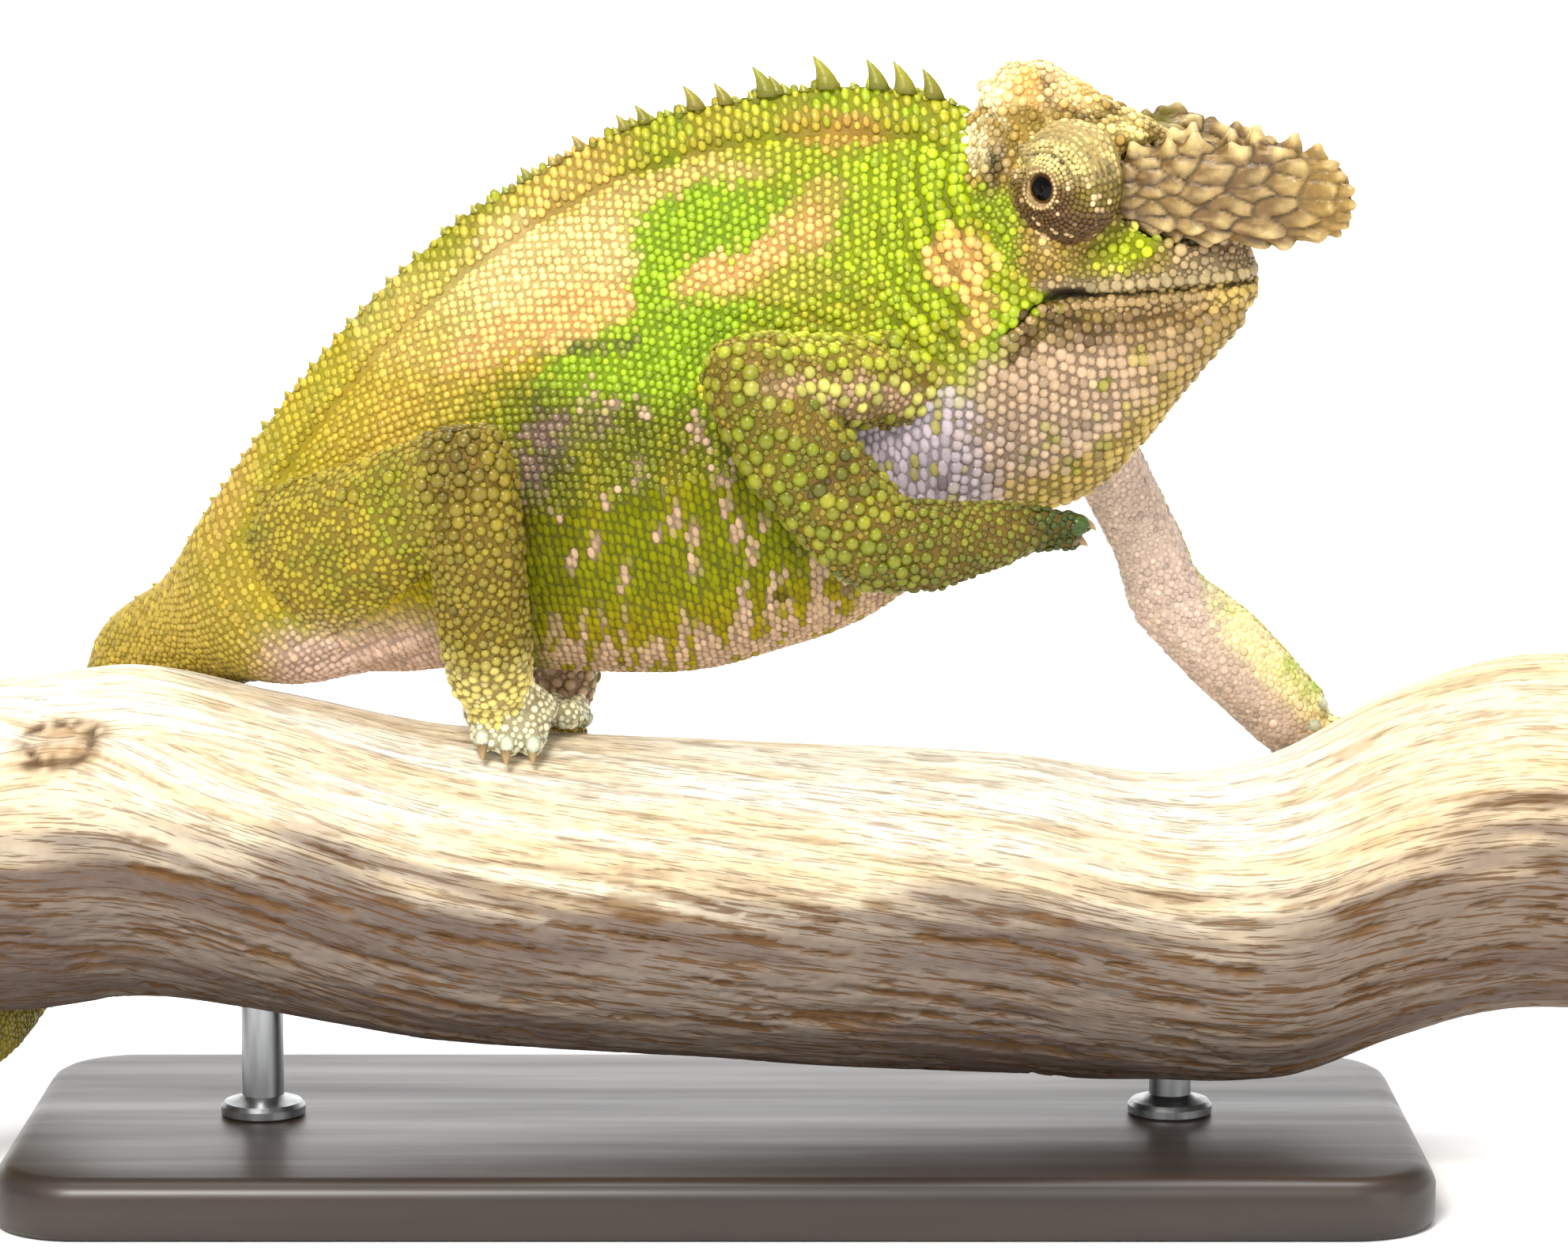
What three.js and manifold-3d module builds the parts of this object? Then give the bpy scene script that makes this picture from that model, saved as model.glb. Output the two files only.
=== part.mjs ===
// A male two-horned chameleon, life size, gripping a cut length of branch on a plain display stand.
// Millimetres, +Z up. The snout points along +X, the animal's right side faces -Y, and the origin is
// the middle of the stand's underside. Heights below are taken from the branch's core under the ribs,
// which the stand holds at CORE_HEIGHT.
import * as THREE from "three";
import { mergeVertices } from "three/addons/utils/BufferGeometryUtils.js";
import Module from "manifold-3d";

const wasm = await Module();
wasm.setup();

// ---------------------------------------------------------------- driving dimensions
const GAP = 0.3; // air between two solids that meet
const CLEAR = 0.45; // height of a tail or sole above the bark
// Points round a section, and sections per station or per joint.
const BODY_MESH = { sides: 16, perStation: 1.1 };
const TAIL_MESH = { sides: 9, perStation: 2 };
const LIMB_MESH = { sides: 9, perJoint: 1, ends: [[0.8, 0.62]] };
const TOE_MESH = { sides: 5, perJoint: 1, ends: [[0.75, 0.66]] };
const CLAW_MESH = { sides: 4, perJoint: 1, ends: [] };

const CORE_HEIGHT = 38;
const BASE = { length: 190, width: 78, height: 8, corner: 12, bevel: 1.5 };
const ROD = { radius: 3, spread: 62, intoBase: 5, intoPerch: 9 };

// The branch: its crest height and radius at places along X, and how far its core wanders sideways.
const PERCH_ENDS = [-134, 119];
const PERCH_CREST = [
  [-134, 27.5], [-110, 28.5], [-92, 30.2], [-78, 31.6], [-60, 28.2], [-37, 23.8],
  [0, 21.5], [40, 19.5], [61, 16.8], [76, 19.4], [91, 27.3], [106, 32.2], [119, 33.2],
];
const PERCH_RADIUS = [
  [-134, 21], [-90, 22.5], [-60, 21.8], [0, 21.5], [45, 21], [62, 20.5], [90, 23.5], [119, 24.5],
];
const PERCH_SIDEWAYS = [[-134, 1.5], [-70, 0], [0, -1], [60, 0.5], [119, 2]];

// The body from the chin back to the vent: the back line, the belly line, the half width of the
// section, and how sharp its keels are on the back and on the belly (0.5 is an ellipse).
const BODY_STATIONS = [
  { name: "chin", back: [71, 0, 83], belly: [71.8, 0, 79.2], half: 2.6, keels: [0.5, 0.5] },
  { name: "jaw", back: [64, 0, 83], belly: [64.2, 0, 70.4], half: 6.2, keels: [0.5, 0.55] },
  { name: "throat", back: [55, 0, 85], belly: [57.2, 0, 61.6], half: 8.8, keels: [0.5, 0.62] },
  { name: "gular", back: [47, 0, 89], belly: [50, 0, 55], half: 10.6, keels: [0.5, 0.68] },
  { name: "collar", back: [40, 0, 98], belly: [39.8, 0, 51.2], half: 11.6, keels: [0.6, 0.66] },
  { name: "nape", back: [34.2, 0, 106.4], belly: [31, 0, 45.8], half: 12.6, keels: [0.75, 0.62] },
  { name: "withers", back: [26.8, 0, 109.4], belly: [23, 0, 40], half: 13.2, keels: [0.95, 0.6] },
  { name: "chest", back: [15, 0, 110.2], belly: [16, 0, 36.4], half: 14.1, keels: [1, 0.58] },
  { name: "ribs", back: [2, 0, 108.4], belly: [8.5, 0, 34], half: 14.6, keels: [1, 0.56] },
  { name: "flank", back: [-11, 0, 105.2], belly: [-1, 0, 31.4], half: 14.6, keels: [1, 0.56] },
  { name: "belly", back: [-22.8, 0, 99.5], belly: [-11.2, 0, 30.8], half: 14, keels: [1, 0.58] },
  { name: "loin", back: [-33.8, 0, 92.6], belly: [-21.3, 0, 31.2], half: 13, keels: [0.95, 0.62] },
  { name: "hip", back: [-44.8, 0, 83.3], belly: [-30.3, 0, 31.8], half: 12.4, keels: [0.9, 0.66] },
  { name: "pelvis", back: [-54, 0, 73.2], belly: [-38.4, 0, 31.2], half: 11, keels: [0.8, 0.62] },
  { name: "rump", back: [-62.3, 0.3, 62.4], belly: [-46.5, 0, 30.8], half: 9.4, keels: [0.7, 0.58] },
  { name: "vent", back: [-69.6, 3, 52], belly: [-53.4, 1.5, 29.6], half: 8.2, keels: [0.6, 0.52] },
  { name: "tailRoot", back: [-75.4, 11, 43], belly: [-63, 9.5, 28.8], half: 7, keels: [0.55, 0.5] },
  { name: "tailBend", back: [-86, 23.5, 33], belly: [-75.6, 19.5, 20.5], half: 6, keels: [0.5, 0.5] },
];
// The tail then winds round the branch, its underside on the bark, to a fine tip.
const TAIL_WRAP = {
  stations: 9, fromDeg: 84, toDeg: 330, fromX: -87.5, toX: -124, rootHalfDepth: 6.9, tipHalfDepth: 0.9,
  slimness: 0.74,
};
// Where the body is parted, as station numbers: throat, neck, trunk and the lengths of tail.
const WRAP_START = BODY_STATIONS.length;
const BODY_CUTS = {
  throat: [0, 3.2], neck: [3.2, 4.8], trunk: [4.8, 14.6], tail_base: [14.6, WRAP_START - 0.4],
  tail_far: [WRAP_START - 0.4, WRAP_START + 2.1], tail_under: [WRAP_START + 2.1, WRAP_START + 4.6],
  tail_near: [WRAP_START + 4.6, WRAP_START + 6.6],
  tail_tip: [WRAP_START + 6.6, WRAP_START + TAIL_WRAP.stations - 1],
};

// The tall spines of the crest on the front of the back: the tip's place along X, height.
const CREST_SPINES = [
  [27.6, 3.6], [23.7, 3.9], [20.2, 3.6], [13.2, 4.2], [7.4, 2.2], [5.2, 3.8], [0.2, 2.6],
  [-3.8, 3], [-10.4, 2.2], [-12.9, 1.8], [-18.8, 1.8], [-25.8, 1.5],
];
const SPINE = {
  widthShare: 0.42, thickShare: 0.26, lean: 0.45, sunk: 1.2, setBack: 0.3, stations: [4.5, 14], halvings: 24,
};

// The head in its own frame: x runs from the back of the casque to the snout, z from the mouth line.
const HEAD = { x: 35.2, z: 83, rollDeg: 9, rollAboutZ: 8, back: -1.8, front: 37.6 };
const CASQUE_CREST = [
  [-1.8, 22.5], [0, 27.6], [2, 30.2], [5, 31.7], [8, 31.6], [11, 30.2], [16, 26.8], [21, 23.8],
  [25, 22], [29, 19.4], [33, 14], [36, 7.6], [37.6, 3],
];
const JAW_KEEL = [[-1.8, 3], [3, -6], [8, -9.5], [18, -9], [28, -7], [34, -4.8], [37.6, -1.6]];
// Half widths along the head at shares of the crest height: lips, cheek, orbit, brow, casque edge.
const HEAD_LINES = [
  { share: 0.0, half: [[-1.8, 8], [4, 10.6], [11, 11.2], [20, 9.4], [30, 7], [35, 4.9], [37.6, 1.9]] },
  { share: 0.24, half: [[-1.8, 8.4], [4, 10.8], [11, 10.8], [20, 8.6], [30, 6.3], [35, 4.2], [37.6, 1.7]] },
  { share: 0.52, half: [[-1.8, 7.2], [4, 8.8], [11, 7.4], [20, 6.6], [30, 5.6], [35, 3.4], [37.6, 1.4]] },
  { share: 0.76, half: [[-1.8, 4.8], [4, 6.6], [11, 7.6], [20, 6.9], [30, 4.9], [35, 2.8], [37.6, 1.1]] },
  { share: 0.92, half: [[-1.8, 2], [4, 2.8], [11, 4.4], [20, 5.2], [30, 3.6], [35, 2], [37.6, 0.8]] },
];
const JAW_HALF_SHARE = 0.62; // the jaw's half width at its lower edge, as a share of the lips'
const MOUTH = { cornerX: 3.6, cornerZ: -3.2, lineX: 9, lineZ: 0.2, frontX: 44, deep: 20 };

const EYE = {
  x: 11.4, y: 8.3, z: 15.9, turret: 7.9, outward: 7, ball: 6.2, lidHole: 2.05,
  gazeBackDeg: 30, gazeUpDeg: 3,
};
const HORN = {
  fromX: 17.5, rootY: 4.2, tipY: 9.4, thick: 2.5, knobs: 7,
  near: {
    z: 14.5, drop: 0.9,
    half: [[17.5, 5], [22, 6.6], [28, 7.3], [36, 7.4], [43, 6.9], [46.5, 5.4], [48.7, 2.6]],
  },
  far: {
    z: 15.4, drop: 5.4,
    half: [[17.5, 5.4], [22, 7.6], [27, 8.2], [33, 7], [40, 5.6], [45, 4.4], [47.6, 2]],
  },
};

// Limbs as joints in space with a radius in the limb's own plane and one across it.
const ARM_RIGHT = {
  upper: [[29, -7, 71.5, 7.2, 5.2], [16, -17, 72, 6.2, 5.6], [4.2, -23.2, 73.4, 6.2, 5.6]],
  fore: [[4.4, -23.4, 73, 6.6, 5.8], [10.4, -24, 63.4, 7.6, 6.2], [19.8, -23, 52.6, 7.4, 6]],
  palm: [
    [20.4, -23, 51.4, 7, 5.8], [29, -22.2, 51, 6.3, 5.4], [38, -19, 52.3, 4.4, 4.4],
    [42, -17.4, 52.5, 2.9, 3.6],
  ],
};
const ARM_LEFT = {
  upper: [
    [39, 8, 68, 6.4, 5], [52.6, 14, 59.6, 5.6, 5], [59.4, 16.5, 46.4, 5.4, 4.8],
    [61.8, 17.5, 39.4, 5.8, 4.8],
  ],
  fore: [[61.6, 17.5, 39.6, 6, 4.8], [70.4, 19.5, 31.2, 6.8, 5], [80.4, 22.5, 21.2, 6.2, 4.8]],
};
const LEG_RIGHT = {
  thigh: [[-55, -6, 47, 11.5, 6], [-44, -14.5, 53, 9.6, 6], [-33, -21.4, 60.6, 6.8, 5.6]],
  shin: [
    [-31.4, -21.6, 62, 5.9, 5.4], [-31, -20.8, 50, 6.5, 5.4], [-30.2, -16, 37, 6.4, 5.2],
    [-29.8, -11.5, 31.4, 5.8, 5],
  ],
};
const LEG_LEFT = {
  thigh: [[-54, 6, 46, 10.5, 6], [-39, 15, 48.5, 8.8, 5.8], [-22, 21.5, 51.4, 6.2, 5.4]],
  shin: [
    [-20.6, 21.6, 52, 5.6, 5.2], [-19.6, 21.8, 42, 6, 5.2], [-20.6, 21.2, 31, 5.4, 4.8],
    [-21.8, 20.6, 24.5, 4.8, 4.4],
  ],
};
const TOE = { root: 2.6, tip: 1.9 };
const CLAW = {
  length: 3.2, root: 0.85, tip: 0.28, taper: 0.4, rise: 0.3, ahead: 1.75, onBarkDeg: 8, slantShare: 0.6,
};
// The short length between an ankle and its sole.
const INSTEP = { slimmer: 0.4, heelLift: 1.6, lengthShare: 0.68, widthShare: 0.6 };
// Feet on the branch: where the sole is (x, degrees round the bark towards +Y), its radii, and
// toes as [x and degrees at the root, x and degrees at the tip].
const FEET = {
  right_hind: {
    ankle: LEG_RIGHT.shin.at(-1), sole: [-27.6, -12], radii: [7, 6.4, 4],
    outer: [[-31.2, -14, -31, -25], [-27.6, -15, -27.7, -26.5], [-24, -14, -24.2, -25]],
    inner: [[-22.8, 0, -21.8, 12], [-20.2, -2, -18.4, 11]],
  },
  left_hind: {
    ankle: LEG_LEFT.shin.at(-1), sole: [-22, 54], radii: [6, 6, 3.8],
    outer: [[-25.4, 63, -26.2, 76], [-22, 64, -22, 78], [-18.6, 63, -17.8, 76]],
    inner: [[-26.6, 46, -29, 34], [-23.4, 46, -25.4, 34]],
  },
  left_fore: {
    ankle: ARM_LEFT.fore.at(-1), sole: [84.5, 66], radii: [6.6, 6.2, 3.8],
    outer: [[83, 77, 82.4, 92], [87, 76, 87.8, 91]],
    inner: [[82.6, 59, 83.4, 49], [86, 57, 88, 47], [89.4, 60, 92.6, 51]],
  },
};
// The raised hand's toes: root and tip in space, held together in two bundles.
const RAISED_TOES = {
  root: 2.1, tip: 1.2,
  outer: [[[39.6, -20.2, 54], [47.8, -18.6, 53.2]], [[39.6, -17.8, 54.4], [47.4, -15.8, 53.4]]],
  inner: [[[39.6, -18.2, 50.8], [46.8, -16.8, 50.7]], [[39.6, -15.6, 51], [46.6, -14, 50.9]],
    [[39.4, -14.6, 53], [46, -12.2, 52.4]]],
};

// ---------------------------------------------------------------- small helpers
const V = (x, y, z) => new THREE.Vector3(x, y, z);
const rad = THREE.MathUtils.degToRad;
const mix = THREE.MathUtils.lerp;

// A smooth curve of value against place, through [place, value] pairs.
function through(pairs) {
  const slope = (i) => {
    const a = pairs[Math.max(i - 1, 0)], b = pairs[Math.min(i + 1, pairs.length - 1)];
    return (b[1] - a[1]) / (b[0] - a[0]);
  };
  return (place) => {
    const at = THREE.MathUtils.clamp(place, pairs[0][0], pairs.at(-1)[0]);
    let i = 0;
    while (i < pairs.length - 2 && at > pairs[i + 1][0]) i += 1;
    const [p0, v0] = pairs[i], [p1, v1] = pairs[i + 1];
    const span = p1 - p0, s = (at - p0) / span;
    const rise = s * s * (3 - 2 * s);
    return v0 + (v1 - v0) * rise + span * (slope(i) * s * (1 - s) ** 2 - slope(i + 1) * s * s * (1 - s));
  };
}

// A closed solid from rings of equal count, each end closed by a fan, then grown by `grow`.
function loft(rings, grow = 0) {
  const count = rings[0].length, points = rings.flat(), faces = [];
  const middle = (ring) => ring.reduce((sum, p) => sum.add(p), V(0, 0, 0)).divideScalar(count);
  const first = points.push(middle(rings[0])) - 1;
  const last = points.push(middle(rings.at(-1))) - 1;
  for (let r = 0; r + 1 < rings.length; r += 1) {
    for (let k = 0; k < count; k += 1) {
      const a = r * count + k, b = r * count + ((k + 1) % count);
      faces.push([a, b, b + count], [a, b + count, a + count]);
    }
  }
  for (let k = 0; k < count; k += 1) {
    const next = (k + 1) % count, end = (rings.length - 1) * count;
    faces.push([first, next, k], [last, end + k, end + next]);
  }
  return solidFrom(points, faces, grow);
}

// The points moved out so far that every face shifts by at least `grow`.
function swollen(points, faces, grow) {
  const around = points.map(() => []);
  for (const [a, b, c] of faces) {
    const normal = points[b].clone().sub(points[a]).cross(points[c].clone().sub(points[a])).normalize();
    for (const corner of [a, b, c]) if (normal.length() > 0.5) around[corner].push(normal);
  }
  return points.map((point, i) => {
    const out = around[i].reduce((sum, normal) => sum.add(normal), V(0, 0, 0)).normalize();
    const least = Math.min(...around[i].map((normal) => normal.dot(out)));
    return point.clone().addScaledVector(out, grow / Math.max(least, 0.4));
  });
}

function solidFrom(points, faces, grow = 0) {
  const build = (at, list) => new wasm.Manifold(new wasm.Mesh({
    numProp: 3,
    vertProperties: new Float32Array(at.flatMap((p) => p.toArray())),
    triVerts: new Uint32Array(list.flat()),
  }));
  const made = build(points, faces), inward = made.volume() < 0;
  if (!inward && grow === 0) return made;
  const outward = inward ? faces.map(([a, b, c]) => [a, c, b]) : faces;
  return build(grow === 0 ? points : swollen(points, outward, grow), outward);
}

// A three.js geometry as a solid, after a matrix, grown by `grow`.
function solidOf(geometry, matrix = new THREE.Matrix4(), grow = 0) {
  const bare = geometry.clone().applyMatrix4(matrix);
  bare.deleteAttribute("normal");
  bare.deleteAttribute("uv");
  const merged = mergeVertices(bare, 1e-4);
  const points = [], faces = [], position = merged.getAttribute("position");
  for (let i = 0; i < position.count; i += 1) points.push(V().fromBufferAttribute(position, i));
  for (let i = 0; i < merged.index.count; i += 3) faces.push([...merged.index.array.slice(i, i + 3)]);
  return solidFrom(points, faces, grow);
}

const joined = (solids) => solids.reduce((all, one) => all.add(one));
const biggest = (solid) => solid.decompose().reduce((a, b) => (b.volume() > a.volume() ? b : a));
// A piece less the solids that it meets, kept as one body.
const carved = (piece, ...others) => biggest(others.reduce((left, other) => left.subtract(other), piece));

// ---------------------------------------------------------------- the branch
const crestAt = through(PERCH_CREST), radiusAt = through(PERCH_RADIUS), swayAt = through(PERCH_SIDEWAYS);

function barkRadius(x, angle) {
  const lobes = 0.028 * Math.sin(2 * angle + x / 31) + 0.02 * Math.sin(3 * angle - x / 19);
  return radiusAt(x) * (1 + lobes * Math.sin(angle / 2) ** 2);
}
// A point `lift` above the bark, at an angle from the crest towards +Y.
function onBark(x, angle, lift = 0) {
  const r = barkRadius(x, angle) + lift;
  return V(x, swayAt(x) + r * Math.sin(angle), crestAt(x) - radiusAt(x) + r * Math.cos(angle));
}

function perchShape() {
  const rings = [], steps = 15, sides = 15;
  for (let i = 0; i <= steps; i += 1) {
    const x = mix(...PERCH_ENDS, i / steps);
    rings.push(Array.from({ length: sides }, (_, k) => onBark(x, (2 * Math.PI * k) / sides)));
  }
  return loft(rings);
}

// ---------------------------------------------------------------- body and tail
function wrapStation(i) {
  const { stations, fromDeg, toDeg, fromX, toX, rootHalfDepth, tipHalfDepth, slimness } = TAIL_WRAP;
  const f = i / (stations - 1), angle = rad(mix(fromDeg, toDeg, f)), x = mix(fromX, toX, f);
  const depth = mix(rootHalfDepth, tipHalfDepth, f ** 0.85);
  return {
    back: onBark(x, angle, 2 * depth + CLEAR).toArray(), belly: onBark(x, angle, CLEAR).toArray(),
    half: depth * slimness, keels: [0.5, 0.5],
  };
}
const stations = [
  ...BODY_STATIONS, ...Array.from({ length: TAIL_WRAP.stations }, (_, i) => wrapStation(i)),
];
const curveOf = (pick) => new THREE.CatmullRomCurve3(stations.map(pick));
const backCurve = curveOf((s) => V(...s.back)), bellyCurve = curveOf((s) => V(...s.belly));
const sizeCurve = curveOf((s) => V(s.half, ...s.keels));

const lastStation = stations.length - 1;
const middleAt = (station) => backCurve.getPoint(station / lastStation)
  .add(bellyCurve.getPoint(station / lastStation)).multiplyScalar(0.5);
// How the middle line runs, per station.
function flowAt(station) {
  const step = 0.02, a = Math.max(station - step, 0), b = Math.min(station + step, lastStation);
  return middleAt(b).sub(middleAt(a)).divideScalar(b - a);
}

// The section of the body at a station number.
function bodyRing(station, sides) {
  const t = station / lastStation, middle = middleAt(station), along = flowAt(station).normalize();
  const up = backCurve.getPoint(t).sub(middle), side = along.cross(up).normalize();
  const [half, backKeel, bellyKeel] = sizeCurve.getPoint(t).toArray();
  const fullest = (bellyKeel - backKeel) / (backKeel + bellyKeel);
  const widest = (1 - fullest) ** backKeel * (1 + fullest) ** bellyKeel;
  return Array.from({ length: sides }, (_, k) => {
    const turn = (2 * Math.PI * k) / sides, height = Math.cos(turn);
    const across = ((1 - height) ** backKeel * (1 + height) ** bellyKeel) / widest;
    const wide = half * across * Math.sign(Math.sin(turn));
    return middle.clone().addScaledVector(up, height).addScaledVector(side, wide);
  });
}

// A length of the body between two cuts, half the gap short at each.
function bodyLength([from, to], { sides, perStation }, grow = 0) {
  const a = from === 0 ? 0 : from + GAP / 2 / flowAt(from).length();
  const b = to === lastStation ? to : to - GAP / 2 / flowAt(to).length();
  const steps = Math.max(3, Math.round((b - a) * perStation));
  return loft(Array.from({ length: steps + 1 }, (_, i) => bodyRing(mix(a, b, i / steps), sides)), grow);
}

// The spines stand on the back line and lean towards the tail.
function crestSpines() {
  return CREST_SPINES.map(([tipX, height]) => {
    const x = tipX + SPINE.lean * height;
    let [low, high] = SPINE.stations;
    for (let i = 0; i < SPINE.halvings; i += 1) {
      const station = (low + high) / 2;
      if (backCurve.getPoint(station / lastStation).x > x) low = station;
      else high = station;
    }
    const t = low / lastStation, foot = backCurve.getPoint(t);
    const up = foot.clone().sub(bellyCurve.getPoint(t)).normalize(), along = backCurve.getTangent(t);
    const tall = height + SPINE.sunk, wide = tall * SPINE.widthShare;
    const cone = new THREE.ConeGeometry(1, tall, 4).translate(0, tall / 2, 0);
    const lean = new THREE.Matrix4().makeBasis(
      along.clone().multiplyScalar(wide), up.clone().addScaledVector(along, SPINE.lean),
      V(0, tall * SPINE.thickShare, 0),
    );
    lean.setPosition(foot.addScaledVector(up, -SPINE.sunk).addScaledVector(along, -wide * SPINE.setBack));
    return solidOf(cone, lean);
  });
}

// ---------------------------------------------------------------- head
const headPlace = new THREE.Matrix4().makeTranslation(HEAD.x, 0, HEAD.z + HEAD.rollAboutZ)
  .multiply(new THREE.Matrix4().makeRotationX(rad(HEAD.rollDeg)))
  .multiply(new THREE.Matrix4().makeTranslation(0, 0, -HEAD.rollAboutZ));
const placed = (solid) => solid.transform(headPlace.toArray());

const crestHeight = through(CASQUE_CREST), keelHeight = through(JAW_KEEL);
const headLines = HEAD_LINES.map((line) => ({ share: line.share, half: through(line.half) }));

function headRing(x) {
  const top = crestHeight(x), bottom = keelHeight(x), lips = headLines[0].half(x);
  const side = [V(x, 0, bottom), V(x, lips * JAW_HALF_SHARE, bottom + 0.18 * (0 - bottom))];
  for (const { share, half } of headLines) side.push(V(x, half(x), share * top));
  side.push(V(x, 0, top));
  const mirrored = side.slice(1, -1).reverse().map((p) => V(p.x, -p.y, p.z));
  const outline = new THREE.CatmullRomCurve3([...side, ...mirrored], true, "centripetal");
  return Array.from({ length: 15 }, (_, k) => outline.getPoint(k / 15));
}

function headShape(grow = 0) {
  const places = [HEAD.back, -0.6, 2, 5, 9, 13, 17, 22, 27, 31.5, 35, HEAD.front];
  return placed(loft(places.map(headRing), grow));
}

// The space below the mouth line.
function jawSpace(grow = 0) {
  const { cornerX, cornerZ, lineX, lineZ, frontX, deep } = MOUTH;
  const outline = new THREE.Shape([
    [cornerX, -deep], [frontX, -deep], [frontX, lineZ], [lineX, lineZ], [cornerX, cornerZ],
  ].map(([x, z]) => new THREE.Vector2(x, z)));
  const slab = new THREE.ExtrudeGeometry(outline, { depth: 40, bevelEnabled: false });
  return placed(solidOf(slab, new THREE.Matrix4().makeTranslation(0, 20, 0)
    .multiply(new THREE.Matrix4().makeRotationX(Math.PI / 2)), grow));
}

// side is -1 for the animal's right and +1 for its left.
function eyeSpot(side) {
  const back = rad(EYE.gazeBackDeg), up = rad(EYE.gazeUpDeg);
  const gaze = V(-Math.sin(back), side * Math.cos(back) * Math.cos(up), Math.sin(up)).normalize();
  return { centre: V(EYE.x, side * EYE.y, EYE.z), gaze };
}
function eyeBall(side, grow = 0) {
  const ball = new THREE.SphereGeometry(EYE.ball, 10, 7);
  return placed(solidOf(ball, new THREE.Matrix4().makeTranslation(eyeSpot(side).centre), grow));
}
function eyeTurret(side, grow = 0) {
  const { centre, gaze } = eyeSpot(side);
  const round = new THREE.SphereGeometry(1, 12, 8);
  const place = new THREE.Matrix4().compose(
    centre, new THREE.Quaternion().setFromUnitVectors(V(0, 0, 1), gaze),
    V(EYE.turret, EYE.turret, EYE.outward),
  );
  return placed(solidOf(round, place, grow));
}
function lidOpening(side) {
  const { centre, gaze } = eyeSpot(side);
  const drill = new THREE.CylinderGeometry(EYE.lidHole, EYE.lidHole * 0.9, 8, 8)
    .rotateX(Math.PI / 2).translate(0, 0, EYE.ball + 1);
  const turn = new THREE.Quaternion().setFromUnitVectors(V(0, 0, 1), gaze);
  return placed(solidOf(drill, new THREE.Matrix4().compose(centre, turn, V(1, 1, 1))));
}

function hornShape(side, form, grow = 0) {
  const halfAt = through(form.half), toX = form.half.at(-1)[0], steps = 10, sides = 8;
  const rings = [];
  for (let i = 0; i <= steps; i += 1) {
    const f = i / steps, x = mix(HORN.fromX, toX, 1 - (1 - f) ** 1.25);
    const knob = 1 + 0.05 * Math.sin(f * HORN.knobs * 2 * Math.PI) * (0.4 + f);
    const half = halfAt(x) * knob, thick = HORN.thick * (1.15 - 0.35 * f ** 3);
    const y = side * mix(HORN.rootY, HORN.tipY, f), z = form.z - form.drop * f * f;
    rings.push(Array.from({ length: sides }, (_, k) => {
      const turn = (2 * Math.PI * k) / sides, flat = (c, power) => Math.sign(c) * Math.abs(c) ** power;
      return V(x, y + thick * flat(Math.sin(turn), 0.75), z + half * flat(Math.cos(turn), 0.8));
    }));
  }
  return placed(loft(rings, grow));
}

// ---------------------------------------------------------------- limbs, toes and claws
// A tube through joints [x, y, z, radius in the plane, radius across]. Its ends are rings pushed out
// by a share of the radius and scaled.
function limb(joints, grow = 0, { sides, perJoint, ends } = LIMB_MESH, across = V(0, 1, 0)) {
  const path = new THREE.CatmullRomCurve3(joints.map(([x, y, z]) => V(x, y, z)), false, "centripetal");
  const sizes = new THREE.CatmullRomCurve3(joints.map(([, , , a, b]) => V(a, b, 0)));
  const steps = Math.ceil((joints.length - 1) * perJoint), rings = [];
  const ring = (t, push, scale) => {
    const along = path.getTangent(t), a = along.clone().cross(across).normalize();
    const b = along.clone().cross(a).normalize(), size = sizes.getPoint(t);
    const middle = path.getPoint(t).addScaledVector(along, push * size.x);
    rings.push(Array.from({ length: sides }, (_, k) => {
      const turn = (2 * Math.PI * k) / sides;
      return middle.clone().addScaledVector(a, size.x * scale * Math.cos(turn))
        .addScaledVector(b, size.y * scale * Math.sin(turn));
    }));
  };
  for (const [push, scale] of ends) ring(0, -push, scale);
  for (let i = 0; i <= steps; i += 1) ring(i / steps, 0, 1);
  for (const [push, scale] of ends.toReversed()) ring(1, push, scale);
  return loft(rings, grow);
}
const digit = (points, radii, grow, mesh) =>
  limb(points.map((p, i) => [...p.toArray(), radii[i], radii[i]]), grow, mesh, V(0.3, 0.2, 1));

// Toes that follow the bark from a foot's sole, with a claw at the end of each.
function barkToe([x0, deg0, x1, deg1], grow = 0) {
  const at = (f, r) => onBark(mix(x0, x1, f), rad(mix(deg0, deg1, f)), r + CLEAR);
  const radii = [TOE.root, mix(TOE.root, TOE.tip, 0.5), TOE.tip];
  return digit([at(0, TOE.root), at(0.5, radii[1]), at(1, TOE.tip)], radii, grow, TOE_MESH);
}
function barkClaw([x0, deg0, x1, deg1], grow = 0) {
  const turn = Math.sign(deg1 - deg0), slant = (x1 - x0) / Math.abs(deg1 - deg0);
  const at = (f, lift) => {
    const clearDeg = THREE.MathUtils.radToDeg(CLAW.ahead / (radiusAt(x1) + TOE.tip));
    const degrees = deg1 + turn * (clearDeg + CLAW.onBarkDeg * f);
    return onBark(x1 + slant * Math.abs(degrees - deg1) * CLAW.slantShare, rad(degrees), lift + CLEAR);
  };
  const radii = [CLAW.root, mix(CLAW.root, CLAW.tip, CLAW.taper), CLAW.tip];
  const points = [at(0, TOE.tip + CLAW.rise), at(0.5, TOE.tip * 0.8), at(1, CLAW.tip + 0.1)];
  return digit(points, radii, grow, CLAW_MESH);
}
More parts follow.
